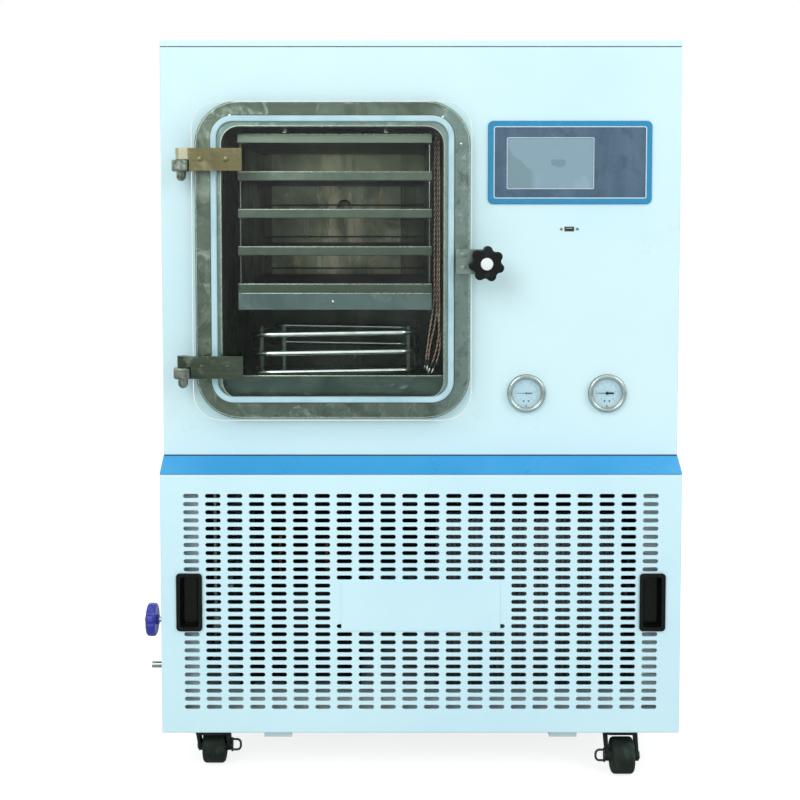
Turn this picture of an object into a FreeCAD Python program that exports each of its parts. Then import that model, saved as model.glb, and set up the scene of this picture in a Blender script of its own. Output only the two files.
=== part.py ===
import FreeCAD, Part
import math
import os

from FreeCAD import Vector

# Freeze dryer, millimetres. X runs to the right, Y to the back, Z up from the floor.
# Inside this file X = 0 is the middle of the cabinet and Y = 0 the front of its upper half.

# ---------------------------------------------------------------- cabinet
CABINET_W = 900.0
UPPER_D = 857.0            # upper half, front to back
LEDGE = 43.0               # the lower half stands this much further forward
SKIRT_Z = 82.0             # lower edge of the panels above the floor
LOWER_H = 454.0
BAND_H = 26.0
UPPER_H = 710.0
COVER_H = 10.0
SHEET = 1.5
SEAM = 0.8                 # gap between neighbouring panels
FIT = 0.3                  # gap between pieces that only sit beside each other
RUN = 0.05                 # radial clearance of a running fit
RETURN = 18.0              # depth of a panel's folded edge
FOLD_R = 2.5               # outer radius of a fold

# ---------------------------------------------------------------- sloping trim
TRIM_T = 2.0
TRIM_FLANGE = 29.0         # lower flange on the frame's top rail
TRIM_BACK = 16.0
TRIM_SEAM = 1.0            # trim above the lower panel's edge

# ---------------------------------------------------------------- base frame
BASE_T = 3.0
BASE_RISE = 2.0            # base plate above the skirt's edge
POST_W = 50.0
POST_D = 30.0
POST_INSET = 20.0          # post to the cabinet's side
POST_BACK = 25.0           # post face behind the lower front
RAIL_T = 3.0
BOTTOM_RAIL_H = 55.0
TOP_RAIL_H = 30.0
SKID_W = 48.0
SKID_X = 250.0
SKID_DROP = 16.0
CATCH_W = 15.0
CATCH_H = 20.0
CRADLE_T = 4.0
CRADLE_Y = (70.0, 430.0)
DECK_HOLE_R = 14.0

# ---------------------------------------------------------------- chamber
CHAMBER_X = -152.0
CHAMBER_Z = 899.5
CHAMBER_W = 382.0          # clear opening
CHAMBER_H = 468.0
CHAMBER_R = 30.0
CHAMBER_D = 500.0
CHAMBER_WALL = 4.0
REAR_WALL = 6.0
FLANGE_W = 474.0
FLANGE_H = 548.0
FLANGE_R = 76.0
FLANGE_T = 18.0
FLANGE_Z = 903.5
FLANGE_EDGE = 1.5
GASKET_W = 418.0
GASKET_H = 494.0
GASKET_R = 38.0
GASKET_BAND = 10.3
GASKET_Z = 905.0
GROOVE = 3.0
GROOVE_FIT = 0.15
SILL_H = 36.5
SILL_T = 3.0
SILL_Y = 2.0
FOAM = 28.0

# ---------------------------------------------------------------- shelves, coil, probes
SHELF_W = 341.0
SHELF_X = -150.5
SHELF_Y = 35.0
SHELF_D = 430.0
SHELF_T = 15.0
SHELF_LIP = 5.0
SHELF_ROUND = 1.5
SHELF_COUNT = 5
SHELF_TOP_Z = 1123.2
SHELF_PITCH = 65.8
RACK_T = 1.5
RACK_INSET = 2.5           # side plate inside the shelf's front lip
RACK_LOW_Z = 812.0
RUNNER = 6.0
HANGER_Y = (100.0, 400.0)
HANGER_W = 20.0
HANGER_T = 3.0
BOLT_X = (-242.0, -60.0)
TRAY_H = 29.5
TRAY_T = 1.5
COIL_R = 5.0
COIL_W = 296.0
COIL_FRONT_Y = 60.0
COIL_BACK_Y = 430.0
COIL_Z = 700.0
COIL_FRONT_RISE = 5.0
COIL_SIDE_RISE = 12.1
COIL_TURNS = 2
COIL_BEND = 38.0
COIL_END_Y = 560.0
STRIP_X = (-283.0, -243.0, -21.0)
STRIP_W = 6.0
STRIP_T = 1.6
WIRE_R = 1.5
TIP_R = 2.4
TIP_L = 12.0
GLAND_X = 29.0
GLAND_Y = 62.0
GLAND_R = 9.0
GLAND_H = 9.0

# ---------------------------------------------------------------- door
DOOR_W = 478.0
DOOR_H = 546.0
DOOR_R = 48.0
DOOR_T = 20.0
DOOR_Z = 902.5
DOOR_EDGE = 1.2
DOOR_BACK = 25.0           # door's back face in front of the fascia
PLATE_T = 6.0
HINGE_X = -408.0
HINGE_Z = (1076.0, 722.0)
HINGE_H = 38.5
HINGE_REACH = 104.0        # from the pin to the plate's free end
KNUCKLE_R = 9.5
PIN_R = 5.0
EYE_R = 16.0
EYE_H = 20.5
EYE_ROUND = 4.0
ARM_R = 10.0
NOTCH_FIT = 1.5
ACORN_R = 8.2
ACORN_NECK = 8.0
SCREW_R = 2.5
SCREW_HEAD_R = 5.0
SCREW_HEAD_H = 2.5
SCREW_DEPTH = 12.0
HINGE_SCREWS = (34.0, 78.0)
LATCH_Z = 903.0
LATCH_H = 42.0
LATCH_FROM = 59.0
LATCH_SCREW_X = 72.0
LATCH_SCREW_Z = 11.0

# ---------------------------------------------------------------- knob
KNOB_X = 109.5
KNOB_Z = 899.8
KNOB_R = 30.4
KNOB_VALLEY = 24.6
KNOB_LOBE_R = 8.0
KNOB_LOBES = 7
KNOB_TURN = 85.0           # direction of the first lobe, degrees from +X
KNOB_T = 22.0
KNOB_ROUND = 3.0
KNOB_HUB_R = 14.0
KNOB_HUB_T = 7.0
CAP_R = 10.2
CAP_T = 2.0
WASHER_R = 12.0
WASHER_T = 2.0
THREAD_R = 4.0
THREAD_CLEAR = 1.0
THREAD_IN = 13.0           # how far the screw reaches into its boss
BOSS_R = 14.0
STUD_R = 6.0
NUT_R = 9.0
NUT_T = 7.0

# ---------------------------------------------------------------- controls
PANEL_X = 257.9
PANEL_Z = 1072.7
BEZEL_W = 283.0
BEZEL_H = 143.0
BEZEL_R = 9.0
BEZEL_BAND = 11.0
BEZEL_T = 4.0
MASK_T = 2.5
SCREEN_X = 224.0
SCREEN_Z = 1071.4
SCREEN_W = 149.0
SCREEN_H = 87.0
SCREEN_R = 2.0
SCREEN_T = 14.0
SCREEN_PROUD = 1.8
USB_X = 257.7
USB_Z = 957.8
USB_W = 16.0
USB_H = 7.5
USB_IN_W = 12.6
USB_IN_H = 4.8
USB_D = 14.0
USB_SCREW_X = 14.0
USB_SCREW_R = 2.0
USB_SCREW_HEAD = 1.0
USB_SHANK_R = 1.2
USB_PROUD = 0.8
GAUGE_X = (184.3, 325.3)
GAUGE_Z = 671.9
GAUGE_R = 33.2
GAUGE_DIAL_R = 26.0
GAUGE_T = 8.0
GAUGE_BODY_R = 30.0
GAUGE_BODY_D = 34.0
DIAL_BACK = 3.0            # dial face in front of the fascia
LENS_T = 1.0
SPINDLE_R = 1.2
POINTER_L = 21.0
POINTER_TAIL = 8.0
POINTER_W = 1.2
POINTER_T = 0.7
POINTER_Y = 3.9            # pointer's back in front of the fascia

# ---------------------------------------------------------------- lower front
SLOT_W = 26.7
SLOT_H = 7.3
SLOT_COLS = 22
SLOT_ROWS = 27
SLOT_PITCH_X = 37.75
SLOT_PITCH_Z = 14.25
SLOT_DROP = 37.0           # first row below the panel's top edge
BLANK_COLS = (8, 15)
BLANK_ROWS = (12, 16)
HANDLE_ROWS = (11, 17)
BLANK_W = 275.0
BLANK_H = 86.0
BLANK_Z = 306.0
BLANK_R = 3.0
HANDLE_X = 400.5
HANDLE_Z = 313.4
HANDLE_W = 44.0
HANDLE_H = 100.5
HANDLE_R = 6.0
HANDLE_RIM = 6.0
HANDLE_LIP = 2.5
HANDLE_DEPTH = 18.0
HANDLE_WALL = 2.0
HANDLE_SLOPE = 5.0

# ---------------------------------------------------------------- machinery
COMPRESSOR_X = -225.0
COMPRESSOR_Y = (270.0, 600.0)
COMPRESSOR_R = 92.0
COMPRESSOR_H = 170.0
COMPRESSOR_FOOT = 230.0
COMPRESSOR_FOOT_T = 3.0
GROMMET_R = 13.0
GROMMET_H = 14.0
GROMMET_SPAN = 95.0
TERMINAL_OUT = 22.0
CORE_X = 205.0
CORE_Y = 130.0
CORE_W = 340.0
CORE_D = 66.0
CORE_H = 330.0
CORE_FINS = 34
CORE_BENDS = 6
FIN_DEPTH = 12.0
FAN_Z = 255.0
FAN_R = 128.0
FAN_HUB_R = 28.0
FAN_HUB_T = 26.0
FAN_BLADES = 5
BLADE_PITCH = 28.0
BLADE_T = 2.5
BLADE_W = 62.0
SHROUD_GAP = 8.0
SHROUD_T = 2.0
SHROUD_RING = 50.0
SHAFT_R = 5.0
MOTOR_R = 45.0
MOTOR_L = 70.0
PIPE_R = 5.0
PIPE_BEND = 30.0
PIPE_DROP_Y = 735.0
DRIER_R = 22.0
DRIER_Y = (400.0, 520.0)

# ---------------------------------------------------------------- drain and ports
VALVE_Y = 165.0
VALVE_Z = 219.6
VALVE_WHEEL_R = 31.0
VALVE_WHEEL_OUT = 62.0     # wheel's outer face beyond the side panel
VALVE_WHEEL_T = 18.0
VALVE_HUB_R = 9.0
VALVE_HUB_T = 4.0
WHEEL_GRIPS = 10
GRIP_R = 5.0
STEM_R = 5.0
BONNET_R = 12.0
BONNET_OUT = 30.0
VALVE_BODY_R = 20.0
VALVE_BODY_X = -385.0
DRAIN_Z = 133.0
DRAIN_R = 6.0
DRAIN_BORE_R = 4.5
DRAIN_OUT = 54.0
DRAIN_HOLE_R = 9.0         # side panel's hole round the spout
DRAIN_STUB_Y = 250.0
DRAIN_LINE_R = 8.0
LOCKNUT_R = 18.0
LOCKNUT_T = 5.0
PORT_Z = 1000.0
PORT_OUT = 30.0
PORT_R = 14.5
PORT_BORE_R = 12.0
PORT_SEAT_R = 13.1
PORT_SEAT_L = 5.0
PORT_FLANGE_R = 20.0
PORT_FLANGE_T = 6.0
INLET_X = 330.0
INLET_Z = 180.0
INLET_W = 30.0
INLET_H = 24.0
INLET_D = 24.0
INLET_WALL = 3.0
VENT_W = 44.0
VENT_H = 8.0
VENT_COLS = 10
VENT_ROWS = 12
VENT_PITCH_X = 62.0
VENT_PITCH_Z = 18.0
VENT_Z = 420.0             # top row of the rear vents

# ---------------------------------------------------------------- casters
CASTER_X = (-368.0, 355.0)
CASTER_INSET = 52.0        # swivel axis behind the lower front
CASTER_TRAIL = 24.0
WHEEL_R = 31.5
WHEEL_W = 40.0
WHEEL_ROUND = 7.0
CHEEK_IN = 24.0
CHEEK_OUT = 29.0
CHEEK_R = 10.0
HEAD_T = 13.0
HEAD_D = 52.0
AXLE_R = 5.0
KINGPIN_R = 6.0
CASTER_PLATE = 64.0
CASTER_PLATE_T = 3.0
BRAKE_OUT = 17.0
BRAKE_H = 23.0
BRAKE_WIRE_R = 2.0
BRAKE_PIN_R = 3.0
BRAKE_ARM_T = 3.0

# ---------------------------------------------------------------- heights and faces that follow
LOWER_TOP = SKIRT_Z + LOWER_H
BAND_TOP = LOWER_TOP + BAND_H
UPPER_TOP = BAND_TOP + UPPER_H
TOP_Z = UPPER_TOP + COVER_H
HALF_W = CABINET_W / 2
INNER_W = HALF_W - SHEET - FIT
LOWER_FRONT = -LEDGE
BASE_Z = SKIRT_Z + BASE_RISE
FLOOR_Z = BASE_Z + BASE_T
POST_OUT = HALF_W - POST_INSET
POST_IN = POST_OUT - POST_W
POST_FRONT = LOWER_FRONT + POST_BACK
POST_END = POST_FRONT + POST_D
FRAME_BACK = UPPER_D - RETURN - FIT
COVER_SEAT = UPPER_TOP - SEAM
RAIL_TOP = LOWER_TOP + TRIM_SEAM
DECK_TOP = RAIL_TOP + BASE_T
DECK_FRONT = LOWER_FRONT + TRIM_FLANGE + SEAM
SIDE_LOWER_Y = LOWER_FRONT + RETURN + SEAM
SIDE_UPPER_Y = RETURN + SEAM
CHAMBER_ROOF = CHAMBER_Z + CHAMBER_H / 2
GLAND_LOW = CHAMBER_ROOF - CHAMBER_R / 4 - GLAND_H
FOAM_LOW = CHAMBER_Z - CHAMBER_H / 2 - CHAMBER_WALL - FOAM
DOOR_FRONT = -DOOR_BACK - DOOR_T
PLATE_FRONT = DOOR_FRONT - PLATE_T
HINGE_Y = DOOR_FRONT + (KNUCKLE_R - PLATE_T)
BOSS_FRONT = DOOR_FRONT + FIT
KNOB_BACK = PLATE_FRONT - WASHER_T - FIT
KNOB_FRONT = KNOB_BACK - KNOB_HUB_T - KNOB_T - CAP_T
CHAMBER_BACK = CHAMBER_D + REAR_WALL
PORT_END = UPPER_D + PORT_OUT
CASTER_Y = (LOWER_FRONT + CASTER_INSET, UPPER_D - CASTER_INSET)
CASTERS = (                # name, place, turn about the swivel axis, and whether it has a brake
    ("front_left", CASTER_X[0], CASTER_Y[0], 0, True),
    ("front_right", CASTER_X[1], CASTER_Y[0], 180, True),
    ("rear_left", CASTER_X[0], CASTER_Y[1], 180, False),
    ("rear_right", CASTER_X[1], CASTER_Y[1], 0, False),
)
HEAD_TOP = BASE_Z - CASTER_PLATE_T - FIT
HEAD_LOW = HEAD_TOP - HEAD_T
CORE_BACK = CORE_Y + CORE_D
SHROUD_Y = CORE_BACK + FIT
FAN_Y = SHROUD_Y + SHROUD_T + SHROUD_GAP

# The part's own origin is on the floor, under the middle of its outer box.
WHEEL_FACE_X = -HALF_W - VALVE_WHEEL_OUT
ORIGIN = Vector((WHEEL_FACE_X + HALF_W) / 2, (KNOB_FRONT + PORT_END) / 2, 0)


# ================================================================ shapes
def box(x0, x1, y0, y1, z0, z1):
    return Part.makeBox(x1 - x0, y1 - y0, z1 - z0, Vector(x0, y0, z0))


def rod(radius, start, end):
    return Part.makeCylinder(radius, (end - start).Length, start, end - start)


def rod_y(radius, x, z, y0, y1):
    return rod(radius, Vector(x, y0, z), Vector(x, y1, z))


def rod_z(radius, x, y, z0, z1):
    return rod(radius, Vector(x, y, z0), Vector(x, y, z1))


def rod_x(radius, y, z, x0, x1):
    return rod(radius, Vector(x0, y, z), Vector(x1, y, z))


def fused(first, *others):
    return first.fuse(list(others)).removeSplitter()


def rounded_wire(width, height, radius, x, z, y):
    """A rectangle with round corners in the plane Y = y, centred on (x, z)."""
    half_w = width / 2
    half_h = height / 2
    corner_x = half_w - radius
    corner_z = half_h - radius
    diagonal = radius * math.sqrt(0.5)
    edges = []
    if corner_x > 0:
        for side in (1, -1):
            edges.append(Part.LineSegment(
                Vector(x - side * corner_x, y, z + side * half_h),
                Vector(x + side * corner_x, y, z + side * half_h)).toShape())
    if corner_z > 0:
        for side in (1, -1):
            edges.append(Part.LineSegment(
                Vector(x + side * half_w, y, z + side * corner_z),
                Vector(x + side * half_w, y, z - side * corner_z)).toShape())
    for side_x in (1, -1):
        for side_z in (1, -1):
            centre = Vector(x + side_x * corner_x, y, z + side_z * corner_z)
            edges.append(Part.Arc(
                centre + Vector(side_x * radius, 0, 0),
                centre + Vector(side_x * diagonal, 0, side_z * diagonal),
                centre + Vector(0, 0, side_z * radius)).toShape())
    return Part.Wire(Part.__sortEdges__(edges))


def plate_y(width, height, radius, x, z, y0, y1):
    """A flat plate with round corners, from Y = y0 to Y = y1."""
    face = Part.Face(rounded_wire(width, height, radius, x, z, y0))
    return face.extrude(Vector(0, y1 - y0, 0))


def slot_wire(width, height, x, z, y):
    """A slot with half-round ends in the plane Y = y."""
    return rounded_wire(width, height, height / 2, x, z, y)


def polygon_x(points, x0, x1):
    """The outline of (y, z) points, from X = x0 to X = x1."""
    corners = [Vector(x0, y, z) for y, z in points]
    face = Part.Face(Part.makePolygon(corners + corners[:1]))
    return face.extrude(Vector(x1 - x0, 0, 0))


def offset_line(points, distance):
    """The line of (y, z) points moved sideways by distance, with mitred corners."""
    moved = []
    count = len(points)
    for i in range(count):
        normals = []
        for a, b in ((i - 1, i), (i, i + 1)):
            if a >= 0 and b < count:
                run = Vector(points[b][0] - points[a][0], points[b][1] - points[a][1], 0)
                run.normalize()
                normals.append(Vector(-run.y, run.x, 0))
        middle = sum(normals, Vector())
        middle.normalize()
        reach = distance / middle.dot(normals[0])
        moved.append((points[i][0] + middle.x * reach, points[i][1] + middle.y * reach))
    return moved


def folded_x(points, thickness, x0, x1):
    """A folded sheet whose outer face follows the (y, z) points."""
    inner = offset_line(points, thickness)
    return polygon_x(points + inner[::-1], x0, x1)


def bent_edges(points, bend=None):
    """Straight runs joined by tangent arcs, and the arcs' radii."""
    edges = []
    radii = []
    last = points[0]
    for before, point, after in zip(points, points[1:], points[2:]):
        to_before = before - point
        to_after = after - point
        shorter = min(to_before.Length, to_after.Length)
        to_before.normalize()
        to_after.normalize()
        half_turn = (math.pi - to_before.getAngle(to_after)) / 2
        radius = 0.45 * shorter / math.tan(half_turn)
        if bend:
            radius = min(radius, bend)
        reach = radius * math.tan(half_turn)
        start = point + to_before * reach
        end = point + to_after * reach
        inwards = to_before + to_after
        inwards.normalize()
        middle = point + inwards * (radius / math.cos(half_turn) - radius)
        edges.append(Part.LineSegment(last, start).toShape())
        edges.append(Part.Arc(start, middle, end).toShape())
        radii.append(radius)
        last = end
    edges.append(Part.LineSegment(last, points[-1]).toShape())
    return edges, radii


def tube(points, radius, bend=None):
    """A round tube along the points, with its length and its arcs' radii."""
    edges, radii = bent_edges(points, bend)
    path = Part.Wire(edges)
    circle = Part.Wire(Part.makeCircle(radius, points[0], points[1] - points[0]))
    solid = path.makePipeShell([circle], True, False)
    return Part.Solid(Part.Shell(solid.Faces)), path.Length, radii


def edges_at_y(shape, y):
    """The edges that lie in the plane Y = y."""
    return [e for e in shape.Edges
            if abs(e.BoundBox.YMin - y) < FIT / 2 and abs(e.BoundBox.YMax - y) < FIT / 2]


def pan(x0, x1, y_front, depth, z0, z1):
    """A sheet panel facing the front, its four edges folded back."""
    outer = box(x0, x1, y_front, y_front + depth, z0, z1)
    outer = outer.makeFillet(FOLD_R, edges_at_y(outer, y_front))
    inner = box(x0 + SHEET, x1 - SHEET, y_front + SHEET, y_front + depth + 1, z0 + SHEET, z1 - SHEET)
    inner = inner.makeFillet(FOLD_R - SHEET, edges_at_y(inner, y_front + SHEET))
    return outer.cut(inner)


nodes = {}


def save(name, *shapes):
    """Keeps a node: one solid, or a group of separate ones."""
    nodes[name] = shapes[0] if len(shapes) == 1 else Part.makeCompound(list(shapes))


# ================================================================ cabinet
def rail_x(x0, x1, y0, y1, z0, z1, web_y):
    """An angle along X: an upright web at web_y and a flat flange on top."""
    flange = box(x0, x1, y0, y1, z1 - RAIL_T, z1)
    web_start = web_y if web_y == y0 else web_y - RAIL_T
    return flange.fuse(box(x0, x1, web_start, web_start + RAIL_T, z0, z1))


def post(side, y0, y1, open_end):
    """An upright folded channel, open at its y0 or y1 side."""
    x0, x1 = sorted((side * POST_IN, side * POST_OUT))
    outer = box(x0, x1, y0, y1, FLOOR_Z - 1, RAIL_TOP - 1)
    inner_y0 = y0 + RAIL_T if open_end == y1 else y0 - 1
    inner_y1 = y1 - RAIL_T if open_end == y0 else y1 + 1
    return outer.cut(box(x0 + RAIL_T, x1 - RAIL_T, inner_y0, inner_y1, SKIRT_Z, RAIL_TOP))


def base_frame():
    """Base plate, skids, posts, rails, deck and chamber cradle, welded together."""
    back_post = FRAME_BACK - POST_D
    side_rail = POST_OUT - POST_D
    low_rail_top = FLOOR_Z + BOTTOM_RAIL_H
    top_rail_low = RAIL_TOP - TOP_RAIL_H
    frame = box(-INNER_W, INNER_W, SIDE_LOWER_Y, FRAME_BACK, BASE_Z, FLOOR_Z)
    parts = [
        rail_x(-POST_IN, POST_IN, POST_FRONT, POST_END, BASE_Z, low_rail_top, POST_FRONT),
        rail_x(-POST_IN, POST_IN, back_post, FRAME_BACK, BASE_Z, low_rail_top, FRAME_BACK),
        rail_x(-POST_OUT, POST_OUT, POST_FRONT, POST_END, top_rail_low, RAIL_TOP, POST_FRONT),
        rail_x(-POST_OUT, POST_OUT, back_post, FRAME_BACK, top_rail_low, RAIL_TOP, FRAME_BACK),
        box(-INNER_W, INNER_W, DECK_FRONT, FRAME_BACK, RAIL_TOP, DECK_TOP),
    ]
    for side in (-1, 1):
        parts.append(post(side, POST_FRONT, POST_END, POST_END))
        parts.append(post(side, back_post, FRAME_BACK, back_post))
        x0, x1 = sorted((side * side_rail, side * POST_OUT))
        web_x0, web_x1 = sorted((side * (POST_OUT - RAIL_T), side * POST_OUT))
        parts.append(box(x0, x1, POST_END - RAIL_T, back_post + RAIL_T, RAIL_TOP - RAIL_T, RAIL_TOP))
        parts.append(box(web_x0, web_x1, POST_END - RAIL_T, back_post + RAIL_T, top_rail_low, RAIL_TOP))
        skid_x = side * SKID_X
        parts.append(box(skid_x - SKID_W / 2, skid_x + SKID_W / 2, SIDE_LOWER_Y, FRAME_BACK,
                         BASE_Z - SKID_DROP, BASE_Z))
        x0, x1 = sorted((side * (POST_OUT - CATCH_W), side * POST_OUT))
        for z in (SKIRT_Z + 2 * CATCH_H, LOWER_TOP - 3 * CATCH_H):
            parts.append(box(x0, x1, LOWER_FRONT + SHEET + FIT, POST_FRONT + RAIL_T, z, z + CATCH_H))
    for y in CRADLE_Y:
        parts.append(box(CHAMBER_X - CHAMBER_W / 2, CHAMBER_X + CHAMBER_W / 2, y, y + CRADLE_T,
                         RAIL_TOP, FOAM_LOW - FIT))
    for x in CASTER_X:
        for y in CASTER_Y:
            half = CASTER_PLATE / 2
            parts.append(box(x - half, x + half, y - half, y + half, BASE_Z - CASTER_PLATE_T, BASE_Z))
            parts.append(rod_z(KINGPIN_R, x, y, HEAD_LOW, BASE_Z))
    frame = fused(frame, *parts)
    for x, y in deck_holes():
        frame = frame.cut(rod_z(DECK_HOLE_R, x, y, RAIL_TOP - RAIL_T - 1, DECK_TOP + 1))
    return frame


def side_panel(side):
    """A full-height side sheet with folded top and rear edges."""
    x_out = side * HALF_W
    x_in = side * (HALF_W - SHEET)
    x_return = side * (HALF_W - RETURN)
    outline = [(SIDE_LOWER_Y, SKIRT_Z), (SIDE_LOWER_Y, LOWER_TOP), (SIDE_UPPER_Y, LOWER_TOP),
               (SIDE_UPPER_Y, COVER_SEAT), (UPPER_D, COVER_SEAT), (UPPER_D, SKIRT_Z)]
    sheet = polygon_x(outline, *sorted((x_in, x_out)))
    x0, x1 = sorted((x_return, x_out))
    top = box(x0, x1, SIDE_UPPER_Y, UPPER_D - SHEET, COVER_SEAT - SHEET, COVER_SEAT)
    rear = box(x0, x1, UPPER_D - 2 * SHEET, UPPER_D - SHEET, SKIRT_Z, COVER_SEAT)
    return fused(sheet, top, rear)


def left_side_panel():
    panel = side_panel(-1)
    outside = -HALF_W - 1
    inside = -HALF_W + SHEET + 1
    panel = panel.cut(rod_x(BONNET_R + FIT, VALVE_Y, VALVE_Z, outside, inside))
    return panel.cut(rod_x(DRAIN_HOLE_R, VALVE_Y, DRAIN_Z, outside, inside))


def top_cover():
    """The flat lid with its four edges folded down."""
    outer = box(-HALF_W, HALF_W, 0, UPPER_D, UPPER_TOP, TOP_Z)
    rim = [e for e in outer.Edges if e.BoundBox.ZMin > TOP_Z - 1]
    outer = outer.makeFillet(FOLD_R, rim)
    inner = box(-HALF_W + SHEET, HALF_W - SHEET, SHEET, UPPER_D - SHEET, UPPER_TOP - 1, TOP_Z - SHEET)
    return outer.cut(inner)


def front_fascia():
    """The upper front sheet, with its windows."""
    through = (-1, SHEET + 1)
    fascia = pan(-HALF_W, HALF_W, 0, RETURN, BAND_TOP, COVER_SEAT)
    window = plate_y(CHAMBER_W + 2 * (CHAMBER_WALL + FIT), CHAMBER_H + 2 * (CHAMBER_WALL + FIT),
                     CHAMBER_R + CHAMBER_WALL, CHAMBER_X, CHAMBER_Z, *through)
    cuts = [
        window,
        plate_y(SCREEN_W + 2 * FIT, SCREEN_H + 2 * FIT, SCREEN_R, SCREEN_X, SCREEN_Z, *through),
        plate_y(USB_W + 2 * FIT, USB_H + 2 * FIT, FIT, USB_X, USB_Z, *through),
        rod_y(STUD_R + FIT, KNOB_X, KNOB_Z, *through),
    ]
    cuts += [rod_y(GAUGE_BODY_R + FIT, x, GAUGE_Z, *through) for x in GAUGE_X]
    cuts += [rod_y(STUD_R + FIT, HINGE_X, z - EYE_H / 2, *through) for z in HINGE_Z]
    cuts += [rod_y(USB_SHANK_R + FIT, USB_X + side * USB_SCREW_X, USB_Z, *through) for side in (-1, 1)]
    return fascia.cut(cuts)


def trim_band():
    """The folded, sloping strip between the two halves, closed at its ends."""
    top = BAND_TOP - FIT
    line = [(LOWER_FRONT + TRIM_FLANGE, RAIL_TOP), (LOWER_FRONT, RAIL_TOP), (0, top),
            (TRIM_BACK, top), (TRIM_BACK, DECK_TOP + FIT)]
    end_outline = [(LOWER_FRONT + TRIM_FLANGE, DECK_TOP + FIT)] + line
    strip = folded_x(line, -TRIM_T, -HALF_W, HALF_W)
    left = polygon_x(end_outline, -HALF_W, -HALF_W + TRIM_T)
    right = polygon_x(end_outline, HALF_W - TRIM_T, HALF_W)
    return fused(strip, left, right)


def rear_panel():
    """The rear sheet with its air slots and the mains inlet moulding."""
    x_port = CHAMBER_X
    front = UPPER_D - SHEET
    wires = [Part.makePolygon([Vector(x, front, z) for x, z in (
        (-INNER_W, SKIRT_Z), (INNER_W, SKIRT_Z), (INNER_W, COVER_SEAT - FIT),
        (-INNER_W, COVER_SEAT - FIT), (-INNER_W, SKIRT_Z))])]
    for col in range(VENT_COLS):
        for row in range(VENT_ROWS):
            x = (col - (VENT_COLS - 1) / 2) * VENT_PITCH_X - VENT_PITCH_X / 2
            wires.append(slot_wire(VENT_W, VENT_H, x, VENT_Z - row * VENT_PITCH_Z, front))
    face = Part.makeFace(wires, "Part::FaceMakerBullseye")
    panel = face.extrude(Vector(0, SHEET, 0))
    panel = panel.cut(rod_y(PORT_R + FIT, x_port, PORT_Z, front - 1, UPPER_D + 1))
    socket = box(INLET_X - INLET_W / 2 - INLET_WALL, INLET_X + INLET_W / 2 + INLET_WALL,
                 UPPER_D - INLET_D - INLET_WALL, UPPER_D + INLET_WALL / 2,
                 INLET_Z - INLET_H / 2 - INLET_WALL, INLET_Z + INLET_H / 2 + INLET_WALL)
    hollow = box(INLET_X - INLET_W / 2, INLET_X + INLET_W / 2, UPPER_D - INLET_D, UPPER_D + INLET_WALL,
                 INLET_Z - INLET_H / 2, INLET_Z + INLET_H / 2)
    return fused(panel, socket).cut(hollow)


# ================================================================ lift-off front
def slot_places():
    """The (x, z) places of the air slots."""
    first_x = -(SLOT_COLS - 1) / 2 * SLOT_PITCH_X
    first_z = LOWER_TOP - SLOT_DROP
    places = []
    for col in range(1, SLOT_COLS + 1):
        for row in range(1, SLOT_ROWS + 1):
            behind_blank = (BLANK_COLS[0] <= col <= BLANK_COLS[1]
                            and BLANK_ROWS[0] <= row <= BLANK_ROWS[1])
            behind_handle = (col in (1, SLOT_COLS)
                             and HANDLE_ROWS[0] <= row <= HANDLE_ROWS[1])
            if not (behind_blank or behind_handle):
                places.append((first_x + (col - 1) * SLOT_PITCH_X, first_z - (row - 1) * SLOT_PITCH_Z))
    return places


def grille_panel():
    """The slotted lower front with folded edges and two handle cut-outs."""
    edge = 2 * FOLD_R
    x_field = HALF_W - edge
    z_low = SKIRT_Z + edge
    z_high = LOWER_TOP - edge
    shell = pan(-HALF_W, HALF_W, LOWER_FRONT, RETURN, SKIRT_Z, LOWER_TOP)
    shell = shell.cut(box(-x_field, x_field, LOWER_FRONT - 1, LOWER_FRONT + SHEET + 1, z_low, z_high))
    wires = [Part.makePolygon([Vector(x, LOWER_FRONT, z) for x, z in (
        (-x_field, z_low), (x_field, z_low), (x_field, z_high), (-x_field, z_high),
        (-x_field, z_low))])]
    wires += [slot_wire(SLOT_W, SLOT_H, x, z, LOWER_FRONT) for x, z in slot_places()]
    cup_w = HANDLE_W - 2 * (HANDLE_RIM - HANDLE_WALL)
    cup_h = HANDLE_H - 2 * (HANDLE_RIM - HANDLE_WALL)
    for side in (-1, 1):
        wires.append(rounded_wire(cup_w + 2 * FIT, cup_h + 2 * FIT, HANDLE_R - HANDLE_WALL,
                                  side * HANDLE_X, HANDLE_Z, LOWER_FRONT))
    field = Part.makeFace(wires, "Part::FaceMakerBullseye").extrude(Vector(0, SHEET, 0))
    return fused(shell, field)


def blank_plate():
    """The plain plate in the middle of the slots."""
    return plate_y(BLANK_W, BLANK_H, BLANK_R, 0, BLANK_Z, LOWER_FRONT - SHEET, LOWER_FRONT)


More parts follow.
